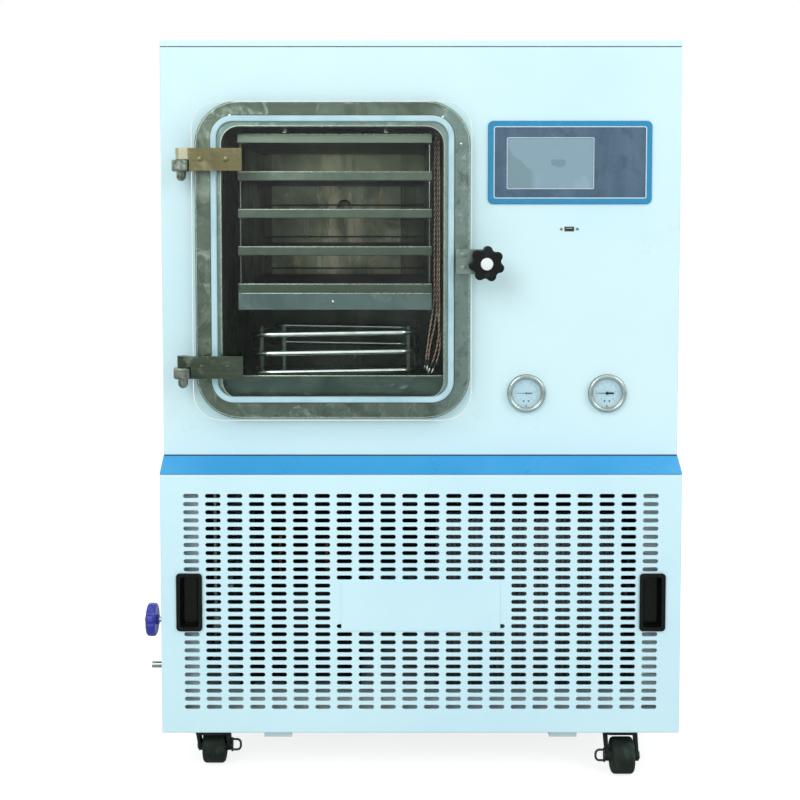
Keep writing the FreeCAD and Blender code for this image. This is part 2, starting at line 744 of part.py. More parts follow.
def flush_handle(side):
    """A moulded finger cup with a flat rim and sloping walls."""
    x = side * HANDLE_X
    front = LOWER_FRONT - HANDLE_LIP
    back = LOWER_FRONT + HANDLE_DEPTH
    mouth_w = HANDLE_W - 2 * HANDLE_RIM
    mouth_h = HANDLE_H - 2 * HANDLE_RIM
    rim = plate_y(HANDLE_W, HANDLE_H, HANDLE_R, x, HANDLE_Z, front, LOWER_FRONT)
    cup = plate_y(mouth_w + 2 * HANDLE_WALL, mouth_h + 2 * HANDLE_WALL, HANDLE_R - HANDLE_WALL,
                  x, HANDLE_Z, LOWER_FRONT - 1, back)
    mouth = rounded_wire(mouth_w, mouth_h, HANDLE_R - HANDLE_WALL, x, HANDLE_Z, front - FIT)
    floor = rounded_wire(mouth_w - 2 * HANDLE_SLOPE, mouth_h - 2 * HANDLE_SLOPE,
                         HANDLE_R - HANDLE_WALL, x, HANDLE_Z, back - HANDLE_WALL)
    return fused(rim, cup).cut(Part.makeLoft([mouth, floor], True, True))


# ================================================================ chamber
def coil_ends():
    """The (x, z) places where the coil's two ends leave through the rear wall."""
    rise = COIL_FRONT_RISE + (COIL_TURNS * 2) * (COIL_FRONT_RISE + COIL_SIDE_RISE)
    return ((CHAMBER_X - COIL_W / 2, COIL_Z), (CHAMBER_X + COIL_W / 2, COIL_Z + rise))


def deck_holes():
    """The (x, y) places where pipes pass through the deck."""
    left, right = coil_ends()
    return ((VALVE_BODY_X, VALVE_Y), (left[0], PIPE_DROP_Y), (right[0], PIPE_DROP_Y))


def chamber_shell():
    """The welded vessel: round-cornered walls, rear wall, sill and cable gland."""
    outer = plate_y(CHAMBER_W + 2 * CHAMBER_WALL, CHAMBER_H + 2 * CHAMBER_WALL,
                    CHAMBER_R + CHAMBER_WALL, CHAMBER_X, CHAMBER_Z, 0, CHAMBER_BACK)
    inner = plate_y(CHAMBER_W, CHAMBER_H, CHAMBER_R, CHAMBER_X, CHAMBER_Z, -1, CHAMBER_D)
    low = CHAMBER_Z - CHAMBER_H / 2
    high = CHAMBER_Z + CHAMBER_H / 2
    sill_box = box(CHAMBER_X - CHAMBER_W, CHAMBER_X + CHAMBER_W, SILL_Y, SILL_Y + SILL_T,
                   low - CHAMBER_WALL, low + SILL_H)
    gland = rod_z(GLAND_R, GLAND_X, GLAND_Y, GLAND_LOW, high + CHAMBER_WALL)
    shell = fused(outer.cut(inner), outer.common(sill_box), outer.common(gland))
    cuts = [rod_y(PORT_BORE_R, CHAMBER_X, PORT_Z, CHAMBER_D - 1, CHAMBER_BACK + 1),
            rod_z(DRAIN_BORE_R, CHAMBER_X, DRAIN_STUB_Y, low - CHAMBER_WALL - 1, low + 1)]
    cuts += [rod_y(COIL_R + FIT, x, z, CHAMBER_D - 1, CHAMBER_BACK + 1) for x, z in coil_ends()]
    return shell.cut(cuts)


def chamber_flange():
    """The machined front ring with the gasket's groove."""
    outer = plate_y(FLANGE_W, FLANGE_H, FLANGE_R, CHAMBER_X, FLANGE_Z, -FLANGE_T, 0)
    outer = outer.makeChamfer(FLANGE_EDGE, edges_at_y(outer, -FLANGE_T))
    inner = plate_y(CHAMBER_W, CHAMBER_H, CHAMBER_R, CHAMBER_X, CHAMBER_Z, -FLANGE_T - 1, 1)
    groove = gasket_ring(GROOVE_FIT, -FLANGE_T - 1, -FLANGE_T + GROOVE)
    return outer.cut(inner).cut(groove)


def gasket_ring(extra, y0, y1):
    outer = plate_y(GASKET_W + 2 * extra, GASKET_H + 2 * extra, GASKET_R + extra,
                    CHAMBER_X, GASKET_Z, y0, y1)
    inside = GASKET_BAND + extra
    inner = plate_y(GASKET_W - 2 * inside, GASKET_H - 2 * inside, GASKET_R - inside,
                    CHAMBER_X, GASKET_Z, y0 - 1, y1 + 1)
    return outer.cut(inner)


def door_gasket():
    """The silicone ring, standing out of its groove almost to the door."""
    ring = gasket_ring(0, -DOOR_BACK + FIT, -FLANGE_T + GROOVE)
    return ring.makeFillet(GASKET_BAND / 4, edges_at_y(ring, -DOOR_BACK + FIT))


def chamber_insulation():
    """The foam jacket round the vessel."""
    front = SHEET + FIT
    back = CHAMBER_BACK + FOAM
    outer = plate_y(CHAMBER_W + 2 * (CHAMBER_WALL + FOAM), CHAMBER_H + 2 * (CHAMBER_WALL + FOAM),
                    CHAMBER_R + CHAMBER_WALL + FOAM, CHAMBER_X, CHAMBER_Z, front, back)
    inner = plate_y(CHAMBER_W + 2 * (CHAMBER_WALL + FIT), CHAMBER_H + 2 * (CHAMBER_WALL + FIT),
                    CHAMBER_R + CHAMBER_WALL + FIT, CHAMBER_X, CHAMBER_Z, front - 1, CHAMBER_BACK + FIT)
    cuts = [inner, rod_y(PORT_R + FIT, CHAMBER_X, PORT_Z, CHAMBER_BACK, back + 1),
            rod_z(DRAIN_LINE_R + FIT, CHAMBER_X, DRAIN_STUB_Y, FOAM_LOW - 1, CHAMBER_Z)]
    cuts += [rod_y(COIL_R + FIT, x, z, CHAMBER_BACK, back + 1) for x, z in coil_ends()]
    return outer.cut(cuts)


def vacuum_port():
    """The pipe from the rear wall to a small clamp flange behind the cabinet."""
    pipe = rod_y(PORT_R, CHAMBER_X, PORT_Z, CHAMBER_BACK, PORT_END)
    flange = rod_y(PORT_FLANGE_R, CHAMBER_X, PORT_Z, PORT_END - PORT_FLANGE_T, PORT_END)
    bore = rod_y(PORT_BORE_R, CHAMBER_X, PORT_Z, CHAMBER_BACK - 1, PORT_END + 1)
    seat = rod_y(PORT_SEAT_R, CHAMBER_X, PORT_Z, PORT_END - PORT_SEAT_L, PORT_END + 1)
    return fused(pipe, flange).cut([bore, seat])


# ================================================================ shelves and coil
def shelf_top(i):
    return SHELF_TOP_Z - i * SHELF_PITCH


def shelf_slab(low, high):
    """A plate between the rack's sides with a wider front lip."""
    half = SHELF_W / 2
    inner_half = half - RACK_INSET - RACK_T - FIT
    lip = box(SHELF_X - half, SHELF_X + half, SHELF_Y, SHELF_Y + SHELF_LIP, low, high)
    body = box(SHELF_X - inner_half, SHELF_X + inner_half, SHELF_Y + SHELF_LIP, SHELF_Y + SHELF_D,
               low, high)
    return fused(lip, body)


def shelf(i):
    slab = shelf_slab(shelf_top(i) - SHELF_T, shelf_top(i))
    rim = [e for e in edges_at_y(slab, SHELF_Y) if e.BoundBox.ZLength < FIT]
    return slab.makeFillet(SHELF_ROUND, rim)


def baffle_tray():
    """The open tray under the lowest shelf."""
    high = shelf_top(SHELF_COUNT - 1) - SHELF_T - FIT
    low = high - TRAY_H
    slab = shelf_slab(low, high)
    inner_half = SHELF_W / 2 - RACK_INSET - RACK_T - FIT - TRAY_T
    hollow = box(SHELF_X - inner_half, SHELF_X + inner_half, SHELF_Y + TRAY_T,
                 SHELF_Y + SHELF_D - TRAY_T, low + TRAY_T, high + 1)
    return slab.cut(hollow)


def shelf_rack():
    """Two thin side plates with runners, tie bars and hangers bolted to the roof."""
    roof = CHAMBER_Z + CHAMBER_H / 2
    y0 = SHELF_Y + SHELF_LIP + FIT
    y1 = SHELF_Y + SHELF_D + RUNNER
    half = SHELF_W / 2 - RACK_INSET
    hanger_top = roof - HANGER_T - FIT
    parts = []
    tray_low = shelf_top(SHELF_COUNT - 1) - SHELF_T - FIT - TRAY_H
    carried = [shelf_top(i) - SHELF_T for i in range(SHELF_COUNT - 1)] + [tray_low]
    for side in (-1, 1):
        outside = SHELF_X + side * half
        inside = SHELF_X + side * (half - RACK_T)
        x0, x1 = sorted((outside, inside))
        parts.append(box(x0, x1, y0, y1, RACK_LOW_Z, hanger_top))
        x0, x1 = sorted((outside, SHELF_X + side * (half - RACK_T - RUNNER)))
        for z in carried:
            parts.append(box(x0, x1, y0 + RUNNER, y1, z - FIT - RACK_T, z - FIT))
    for z in (RACK_LOW_Z, hanger_top - RUNNER):
        parts.append(box(SHELF_X - half, SHELF_X + half, y1 - RACK_T, y1, z, z + RUNNER))
    for y in HANGER_Y:
        parts.append(box(SHELF_X - half, SHELF_X + half, y, y + HANGER_W, hanger_top - HANGER_T,
                         hanger_top))
        for x in BOLT_X:
            parts.append(rod_z(HANGER_W / 2, x, y + HANGER_W / 2, hanger_top - 1, roof - FIT))
            parts.append(rod_z(HANGER_W / 3, x, y + HANGER_W / 2, shelf_top(0) + FIT, hanger_top))
    return fused(parts[0], *parts[1:])


def coil_route():
    (left, start_z), (right, end_z) = coil_ends()
    z = start_z
    points = [Vector(left, COIL_END_Y, z), Vector(left, COIL_FRONT_Y, z)]
    for turn in range(COIL_TURNS + 1):
        z += COIL_FRONT_RISE
        points.append(Vector(right, COIL_FRONT_Y, z))
        if turn < COIL_TURNS:
            z += COIL_SIDE_RISE
            points.append(Vector(right, COIL_BACK_Y, z))
            z += COIL_FRONT_RISE
            points.append(Vector(left, COIL_BACK_Y, z))
            z += COIL_SIDE_RISE
            points.append(Vector(left, COIL_FRONT_Y, z))
    points.append(Vector(right, COIL_END_Y, end_z))
    return points


def cold_trap_coil():
    """The rectangular evaporator coil with its upright spacer strips."""
    coil, length, radii = tube(coil_route(), COIL_R, COIL_BEND)
    report_tube("cold_trap_coil", coil, COIL_R, length, radii)
    floor = CHAMBER_Z - CHAMBER_H / 2
    top = coil_ends()[1][1] + 2 * COIL_R
    strip_y = COIL_FRONT_Y + COIL_R - STRIP_T / 2
    strips = [box(x - STRIP_W / 2, x + STRIP_W / 2, strip_y, strip_y + STRIP_T, floor, top)
              for x in STRIP_X]
    return fused(coil, *strips)


def report_tube(name, solid, radius, length, radii):
    """Prints a tube's bend radii and how its volume compares with section times length."""
    share = solid.Volume / (math.pi * radius ** 2 * length)
    smallest = min(radii) if radii else 0
    print(f"{name}: length {length:.0f}, smallest bend {smallest:.1f}, volume share {share:.4f}")


# Hand-set routes of the four probe leads, from the gland down to their tips.
PROBE_ROUTES = (
    ((26.0, 59.0, 1090.0), (25.0, 55.0, 1040.0), (26.5, 53.0, 985.0), (24.6, 51.0, 930.0),
     (25.6, 52.0, 875.0), (24.4, 50.0, 822.0), (17.5, 49.0, 782.0), (12.5, 47.0, 745.0),
     (9.0, 48.0, 716.0)),
    ((30.0, 65.0, 1088.0), (31.0, 61.0, 1036.0), (29.6, 59.0, 980.0), (31.2, 58.0, 926.0),
     (30.2, 56.0, 872.0), (30.6, 55.0, 820.0), (25.5, 50.0, 782.0), (16.5, 47.5, 748.0),
     (13.2, 43.0, 716.0)),
    ((33.2, 58.5, 1086.0), (34.2, 53.0, 1034.0), (33.4, 50.0, 980.0), (34.4, 49.0, 924.0),
     (33.6, 47.0, 868.0), (34.4, 46.0, 812.0), (33.0, 44.0, 764.0), (26.0, 42.5, 732.0),
     (18.0, 40.0, 712.0)),
    ((26.0, 66.0, 1092.0), (26.8, 64.5, 1044.0), (25.2, 63.0, 992.0), (26.4, 61.0, 938.0),
     (25.2, 60.5, 884.0), (27.4, 60.0, 832.0), (33.0, 53.0, 796.0), (36.0, 47.0, 762.0),
     (33.0, 38.5, 730.0), (24.5, 36.0, 712.0)),
)


def probe_cables():
    """Four thin leads with metal probe tips."""
    solids = []
    for i, route in enumerate(PROBE_ROUTES):
        points = [Vector(route[0][0], route[0][1], GLAND_LOW)] + [Vector(*p) for p in route]
        lead, length, radii = tube(points, WIRE_R)
        report_tube(f"probe lead {i + 1}", lead, WIRE_R, length, radii)
        direction = points[-1] - points[-2]
        direction.normalize()
        tip = rod(TIP_R, points[-1] - direction * WIRE_R, points[-1] + direction * TIP_L)
        solids.append(lead.fuse(tip).removeSplitter())
    return solids


# ================================================================ door
def screw_places():
    """The (x, z) places of the countersunk screws in the hinge and latch plates."""
    hinge = [(HINGE_X + reach, z) for z in HINGE_Z for reach in HINGE_SCREWS]
    latch = [(LATCH_SCREW_X, LATCH_Z + side * LATCH_SCREW_Z) for side in (-1, 1)]
    return hinge, latch


def screw(x, z, extra):
    """A countersunk screw, its head flush with the plate's front."""
    shank = rod_y(SCREW_R + extra, x, z, PLATE_FRONT + SCREW_HEAD_H, DOOR_FRONT + SCREW_DEPTH + extra)
    head = Part.makeCone(SCREW_HEAD_R + extra, SCREW_R + extra, SCREW_HEAD_H + extra,
                         Vector(x, PLATE_FRONT - extra, z), Vector(0, 1, 0))
    return fused(shank, head)


def screw_holes(places):
    return [screw(x, z, FIT / 2) for x, z in places]


def door_plate():
    """The thick clear door with blind holes for its fittings."""
    plate = plate_y(DOOR_W, DOOR_H, DOOR_R, CHAMBER_X, DOOR_Z, DOOR_FRONT, -DOOR_BACK)
    rims = edges_at_y(plate, DOOR_FRONT) + edges_at_y(plate, -DOOR_BACK)
    plate = plate.makeChamfer(DOOR_EDGE, rims)
    hinge, latch = screw_places()
    return plate.cut(screw_holes(hinge + latch))


def hinge_plate(z):
    """A steel strap whose rolled end stands on the cabinet's hinge eye."""
    low = z - HINGE_H / 2
    high = z + HINGE_H / 2
    strap = box(HINGE_X, HINGE_X + HINGE_REACH, PLATE_FRONT, DOOR_FRONT, low, high)
    knuckle = rod_z(KNUCKLE_R, HINGE_X, HINGE_Y, z, high)
    notch = rod_z(EYE_R + NOTCH_FIT, HINGE_X, HINGE_Y, low - 1, z + FIT)
    corner = box(HINGE_X - KNUCKLE_R, HINGE_X, PLATE_FRONT - 1, DOOR_FRONT + 1, low - 1, z + FIT)
    bore = rod_z(PIN_R + RUN, HINGE_X, HINGE_Y, low - 1, high + 1)
    return fused(strap, knuckle).cut([notch, corner, bore])


def hinge_bracket(z):
    """A post from the cabinet with a drum eye, the hinge pin and its domed end."""
    top = z
    low = z - EYE_H
    middle = z - EYE_H / 2
    eye = rod_z(EYE_R, HINGE_X, HINGE_Y, low, top)
    eye = eye.makeFillet(EYE_ROUND, [e for e in eye.Edges if e.BoundBox.ZLength < FIT])
    arm = rod_y(ARM_R, HINGE_X, middle, HINGE_Y, 0)
    stud = rod_y(STUD_R, HINGE_X, middle, 0, SHEET + NUT_T)
    nut = rod_y(NUT_R, HINGE_X, middle, SHEET, SHEET + NUT_T)
    pin = rod_z(PIN_R, HINGE_X, HINGE_Y, low, z + HINGE_H / 2 - FIT)
    neck_low = low - ACORN_NECK
    neck = rod_z(ACORN_R, HINGE_X, HINGE_Y, neck_low, low + 1)
    dome = Part.makeSphere(ACORN_R, Vector(HINGE_X, HINGE_Y, neck_low))
    return fused(eye, arm, stud, nut, pin, neck, dome)


def knob_hole(radius):
    return rod_y(radius, KNOB_X, KNOB_Z, PLATE_FRONT - WASHER_T - 1, DOOR_FRONT + 1)


def latch_plate():
    """The round-ended strap that carries the closing knob."""
    strap = box(LATCH_FROM, KNOB_X, PLATE_FRONT, DOOR_FRONT, LATCH_Z - LATCH_H / 2, LATCH_Z + LATCH_H / 2)
    end = rod_y(LATCH_H / 2, KNOB_X, LATCH_Z, PLATE_FRONT, DOOR_FRONT)
    plate = fused(strap, end)
    return plate.cut([knob_hole(THREAD_R + THREAD_CLEAR)] + screw_holes(screw_places()[1]))


def latch_boss():
    """The post on the cabinet that the knob's screw enters."""
    boss = rod_y(BOSS_R, KNOB_X, KNOB_Z, BOSS_FRONT, 0)
    stud = rod_y(STUD_R, KNOB_X, KNOB_Z, 0, SHEET + NUT_T)
    nut = rod_y(NUT_R, KNOB_X, KNOB_Z, SHEET, SHEET + NUT_T)
    bore = rod_y(THREAD_R + THREAD_CLEAR, KNOB_X, KNOB_Z, BOSS_FRONT - 1, BOSS_FRONT + THREAD_IN + THREAD_R)
    return fused(boss, stud, nut).cut(bore)


def knob_washer():
    ring = rod_y(WASHER_R, KNOB_X, KNOB_Z, PLATE_FRONT - WASHER_T, PLATE_FRONT)
    return ring.cut(knob_hole(THREAD_R + RUN))


def star_wire(y):
    """The knob's outline: round lobes joined by tangent hollows."""
    step = 2 * math.pi / KNOB_LOBES
    lobe_at = KNOB_R - KNOB_LOBE_R
    cosine = math.cos(step / 2)
    hollow_r = ((lobe_at ** 2 + KNOB_VALLEY ** 2 - 2 * lobe_at * KNOB_VALLEY * cosine - KNOB_LOBE_R ** 2)
                / (2 * (KNOB_LOBE_R + lobe_at * cosine - KNOB_VALLEY)))
    hollow_at = KNOB_VALLEY + hollow_r

    def at(distance, angle):
        return Vector(KNOB_X + distance * math.cos(angle), y, KNOB_Z + distance * math.sin(angle))

    edges = []
    start = math.radians(KNOB_TURN)
    share = KNOB_LOBE_R / (KNOB_LOBE_R + hollow_r)
    for i in range(KNOB_LOBES):
        angle = start + i * step
        lobe = at(lobe_at, angle)
        before = at(hollow_at, angle - step / 2)
        after = at(hollow_at, angle + step / 2)
        following = at(lobe_at, angle + step)
        join_before = lobe + (before - lobe) * share
        join_after = lobe + (after - lobe) * share
        join_following = following + (after - following) * share
        edges.append(Part.Arc(join_before, at(KNOB_R, angle), join_after).toShape())
        edges.append(Part.Arc(join_after, at(KNOB_VALLEY, angle + step / 2), join_following).toShape())
    return Part.Wire(edges)


def star_knob():
    """Lobed hand knob with its screw, hub and pressed-in end cap."""
    star_back = KNOB_BACK - KNOB_HUB_T
    star_front = star_back - KNOB_T
    star = Part.Face(star_wire(star_front)).extrude(Vector(0, KNOB_T, 0))
    rims = edges_at_y(star, star_front) + edges_at_y(star, star_back)
    star = star.makeFillet(KNOB_ROUND, rims)
    hub = rod_y(KNOB_HUB_R, KNOB_X, KNOB_Z, star_back - 1, KNOB_BACK)
    cap = rod_y(CAP_R, KNOB_X, KNOB_Z, star_front - CAP_T, star_front + 1)
    cap = cap.makeFillet(CAP_T / 2, edges_at_y(cap, star_front - CAP_T))
    thread = rod_y(THREAD_R, KNOB_X, KNOB_Z, KNOB_BACK - 1, BOSS_FRONT + THREAD_IN)
    return fused(star, hub, cap, thread)


# ================================================================ controls
def display_bezel():
    """The frame round the control panel."""
    inner_w = BEZEL_W - 2 * BEZEL_BAND
    inner_h = BEZEL_H - 2 * BEZEL_BAND
    outer = plate_y(BEZEL_W, BEZEL_H, BEZEL_R, PANEL_X, PANEL_Z, -BEZEL_T, 0)
    outer = outer.makeFillet(BEZEL_T / 3, edges_at_y(outer, -BEZEL_T))
    return outer.cut(plate_y(inner_w, inner_h, BEZEL_R / 3, PANEL_X, PANEL_Z, -BEZEL_T - 1, 1))


def display_panel():
    """The sheet inside the frame, with the screen's window."""
    inner_w = BEZEL_W - 2 * (BEZEL_BAND + FIT)
    inner_h = BEZEL_H - 2 * (BEZEL_BAND + FIT)
    sheet = plate_y(inner_w, inner_h, BEZEL_R / 3, PANEL_X, PANEL_Z, -MASK_T, 0)
    return sheet.cut(plate_y(SCREEN_W + FIT, SCREEN_H + FIT, SCREEN_R, SCREEN_X, SCREEN_Z,
                             -MASK_T - 1, 1))


def display_screen():
    return plate_y(SCREEN_W, SCREEN_H, SCREEN_R, SCREEN_X, SCREEN_Z, -SCREEN_PROUD, SCREEN_T)


def usb_socket():
    """The socket block and its two fixing screws."""
    block = plate_y(USB_W, USB_H, FIT, USB_X, USB_Z, -USB_PROUD, USB_D)
    hollow = plate_y(USB_IN_W, USB_IN_H, FIT, USB_X, USB_Z, -USB_PROUD - 1, USB_D - SHEET)
    screws = []
    for side in (-1, 1):
        x = USB_X + side * USB_SCREW_X
        head = rod_y(USB_SCREW_R, x, USB_Z, -USB_SCREW_HEAD, 0)
        screws.append(fused(head, rod_y(USB_SHANK_R, x, USB_Z, -USB_SCREW_HEAD, USB_D / 2)))
    return [block.cut(hollow)] + screws


def gauge(x):
    """A round gauge: case, bezel ring, dial and the pointer's spindle."""
    ring = rod_y(GAUGE_R, x, GAUGE_Z, -GAUGE_T, 0)
    ring = ring.makeFillet(GAUGE_T / 3, edges_at_y(ring, -GAUGE_T))
    case = rod_y(GAUGE_BODY_R, x, GAUGE_Z, -1, GAUGE_BODY_D)
    stem = rod_y(PIPE_R, x, GAUGE_Z, GAUGE_BODY_D - 1, GAUGE_BODY_D + 3 * PIPE_R)
    recess = rod_y(GAUGE_DIAL_R, x, GAUGE_Z, -GAUGE_T - 1, -DIAL_BACK)
    spindle = rod_y(SPINDLE_R, x, GAUGE_Z, -POINTER_Y - POINTER_T - FIT, -DIAL_BACK)
    return fused(fused(ring, case, stem).cut(recess), spindle)


def gauge_pointer(x):
    """A thin pointer with a counterweight tail, on the spindle."""
    y = -POINTER_Y - POINTER_T
    hub_r = 2 * SPINDLE_R
    corners = [(x - POINTER_L, GAUGE_Z), (x, GAUGE_Z - POINTER_W), (x + POINTER_TAIL, GAUGE_Z - hub_r),
               (x + POINTER_TAIL, GAUGE_Z + hub_r), (x, GAUGE_Z + POINTER_W)]
    outline = [Vector(px, y, pz) for px, pz in corners]
    blade = Part.Face(Part.makePolygon(outline + outline[:1])).extrude(Vector(0, POINTER_T, 0))
    hub = rod_y(hub_r, x, GAUGE_Z, y, y + POINTER_T)
    return fused(blade, hub).cut(rod_y(SPINDLE_R + RUN, x, GAUGE_Z, y - 1, y + POINTER_T + 1))


def gauge_lens(x):
    return rod_y(GAUGE_DIAL_R - FIT, x, GAUGE_Z, -GAUGE_T + LENS_T, -GAUGE_T + 2 * LENS_T)


# ================================================================ machinery
def compressor(y):
    """A hermetic compressor: domed shell, weld lip, terminal box and foot plate."""
    foot_z = FLOOR_Z + GROMMET_H
    low = foot_z + COMPRESSOR_FOOT_T
    shell = rod_z(COMPRESSOR_R, COMPRESSOR_X, y, low - 1, low + COMPRESSOR_H)
    dome = [e for e in shell.Edges if e.BoundBox.ZMin > low + COMPRESSOR_H - 1]
    shell = shell.makeFillet(COMPRESSOR_R / 3, dome)
    middle = low + COMPRESSOR_H / 2
    lip = rod_z(COMPRESSOR_R + COMPRESSOR_FOOT_T, COMPRESSOR_X, y, middle, middle + 2 * COMPRESSOR_FOOT_T)
    half = COMPRESSOR_FOOT / 2
    foot = box(COMPRESSOR_X - half, COMPRESSOR_X + half, y - GROMMET_SPAN, y + GROMMET_SPAN, foot_z, low)
    terminal = box(COMPRESSOR_X + COMPRESSOR_R / 2, COMPRESSOR_X + COMPRESSOR_R + TERMINAL_OUT,
                   y - TERMINAL_OUT, y + TERMINAL_OUT, middle - 2 * TERMINAL_OUT, middle)
    return fused(shell, lip, foot, terminal)


def compressor_grommets():
    """The rubber feet under both compressors."""
    feet = []
    reach_x = COMPRESSOR_FOOT / 2 - GROMMET_R
    reach_y = GROMMET_SPAN - GROMMET_R
    for y in COMPRESSOR_Y:
        for side_x in (-1, 1):
            for side_y in (-1, 1):
                feet.append(rod_z(GROMMET_R, COMPRESSOR_X + side_x * reach_x, y + side_y * reach_y,
                                  FLOOR_Z, FLOOR_Z + GROMMET_H))
    return feet


def condenser_core():
    """The finned block between its end plates, with the return bends on one side."""
    x0 = CORE_X - CORE_W / 2
    pitch = CORE_W / CORE_FINS
    front = []
    back = []
    for i in range(CORE_FINS):
        left = x0 + i * pitch
        for x, depth in ((left, 0), (left + pitch / 3, 0), (left + pitch / 3, FIN_DEPTH),
                         (left + pitch, FIN_DEPTH)):
            front.append(Vector(x, CORE_Y + depth, FLOOR_Z))
            back.append(Vector(x, CORE_BACK - depth, FLOOR_Z))
    outline = front + back[::-1]
    block = Part.Face(Part.makePolygon(outline + outline[:1])).extrude(Vector(0, 0, CORE_H))
    ends = [box(x, x + RAIL_T, CORE_Y, CORE_BACK, FLOOR_Z, FLOOR_Z + CORE_H)
            for x in (x0 - RAIL_T, x0 + CORE_W - 1)]
    bends = []
    bend_x = x0 + CORE_W
    for i in range(CORE_BENDS):
        z = FLOOR_Z + (i + 0.5) * CORE_H / CORE_BENDS
        y = CORE_Y + CORE_D / 2
        reach = 4 * PIPE_R
        points = [Vector(bend_x, y, z - 2 * PIPE_R), Vector(bend_x + reach, y, z - 2 * PIPE_R),
                  Vector(bend_x + reach, y, z + 2 * PIPE_R), Vector(bend_x, y, z + 2 * PIPE_R)]
        bends.append(tube(points, PIPE_R, 2 * PIPE_R * 0.9)[0])
    return fused(block, *ends, *bends)


def fan_shroud():
    """The plate behind the condenser with the fan's ring, arms and motor."""
    x0 = CORE_X - CORE_W / 2
    ring_in = FAN_R + SHROUD_GAP / 2
    ring_end = SHROUD_Y + SHROUD_RING
    motor_y = FAN_Y + FAN_HUB_T + SHROUD_GAP
    plate = box(x0, x0 + CORE_W, SHROUD_Y, SHROUD_Y + SHROUD_T, FLOOR_Z, FLOOR_Z + CORE_H)
    ring = rod_y(ring_in + SHROUD_T, CORE_X, FAN_Z, SHROUD_Y, ring_end)
    hollow = rod_y(ring_in, CORE_X, FAN_Z, SHROUD_Y - 1, ring_end + 1)
    frame = fused(plate, ring).cut(hollow)
    arm = BLADE_T * 2
    arms = [box(CORE_X - ring_in - SHROUD_T, CORE_X + ring_in + SHROUD_T, motor_y, motor_y + arm,
                FAN_Z - arm, FAN_Z + arm),
            box(CORE_X - arm, CORE_X + arm, motor_y, motor_y + arm, FAN_Z - ring_in - SHROUD_T,
                FAN_Z + ring_in + SHROUD_T)]
    motor = rod_y(MOTOR_R, CORE_X, FAN_Z, motor_y, motor_y + MOTOR_L)
    shaft = rod_y(SHAFT_R, CORE_X, FAN_Z, FAN_Y - SHROUD_GAP / 2, motor_y + 1)
    return fused(frame, motor, shaft, *arms)


def fan_blades():
    """The fan: a hub and pitched blades on the motor's shaft."""
    hub = rod_y(FAN_HUB_R, CORE_X, FAN_Z, FAN_Y, FAN_Y + FAN_HUB_T)
    middle = Vector(CORE_X, FAN_Y + FAN_HUB_T / 2, FAN_Z)
    blades = []
    for i in range(FAN_BLADES):
        blade = Part.makeBox(FAN_R - FAN_HUB_R / 2, BLADE_T, BLADE_W,
                             Vector(FAN_HUB_R / 2, -BLADE_T / 2, -BLADE_W / 2))
        blade.rotate(Vector(), Vector(1, 0, 0), BLADE_PITCH)
        blade.rotate(Vector(), Vector(0, 1, 0), i * 360 / FAN_BLADES)
        blade.translate(middle)
        blades.append(blade)
    sweep = rod_y(FAN_R, CORE_X, FAN_Z, FAN_Y - SHROUD_GAP, FAN_Y + FAN_HUB_T + SHROUD_GAP)
    return fused(hub, *[b.common(sweep) for b in blades]).cut(
        rod_y(SHAFT_R + RUN, CORE_X, FAN_Z, FAN_Y - 1, FAN_Y + FAN_HUB_T + 1))


def refrigerant_lines():
    """The pipes between compressors, condenser and coil, and the drier."""
    top = FLOOR_Z + GROMMET_H + COMPRESSOR_FOOT_T + COMPRESSOR_H
    first_y, second_y = COMPRESSOR_Y
    port = COMPRESSOR_R / 2
    near_x = COMPRESSOR_X + port
    far_x = COMPRESSOR_X - port
    core_y = CORE_Y + CORE_D / 2
    core_x = CORE_X - CORE_W / 2 - RAIL_T
    low_z = FLOOR_Z + GROMMET_SPAN / 2
    over_z = top + 2 * GROMMET_SPAN
    cross_z = top + GROMMET_SPAN
    clear_x = COMPRESSOR_X + COMPRESSOR_FOOT
    (in_x, in_z), (out_x, out_z) = coil_ends()
    routes = {
        "discharge": [(near_x, first_y, top), (near_x, first_y, cross_z), (near_x, core_y, cross_z),
                      (core_x, core_y, cross_z)],
        "liquid": [(core_x, core_y, low_z), (clear_x - port, core_y, low_z),
                   (clear_x - port, PIPE_DROP_Y, low_z), (in_x, PIPE_DROP_Y, low_z),
                   (in_x, PIPE_DROP_Y, in_z), (in_x, COIL_END_Y, in_z)],
        "suction": [(out_x, COIL_END_Y, out_z), (out_x, PIPE_DROP_Y, out_z),
                    (out_x, PIPE_DROP_Y, over_z), (far_x, PIPE_DROP_Y, over_z),
                    (far_x, second_y, over_z), (far_x, second_y, top)],
        "interstage": [(far_x, first_y, top), (far_x, first_y, cross_z), (near_x, second_y, cross_z),
                       (near_x, second_y, top)],
    }
    pipes = {}
    for name, route in routes.items():
        pipe, length, radii = tube([Vector(*p) for p in route], PIPE_R, PIPE_BEND)
        report_tube(name, pipe, PIPE_R, length, radii)
        pipes[name] = pipe
    drier = rod_y(DRIER_R, clear_x - port, low_z, *DRIER_Y)
    drier = drier.makeFillet(DRIER_R / 3, edges_at_y(drier, DRIER_Y[0]) + edges_at_y(drier, DRIER_Y[1]))
    pipes["liquid"] = fused(pipes["liquid"], drier)
    return list(pipes.values())


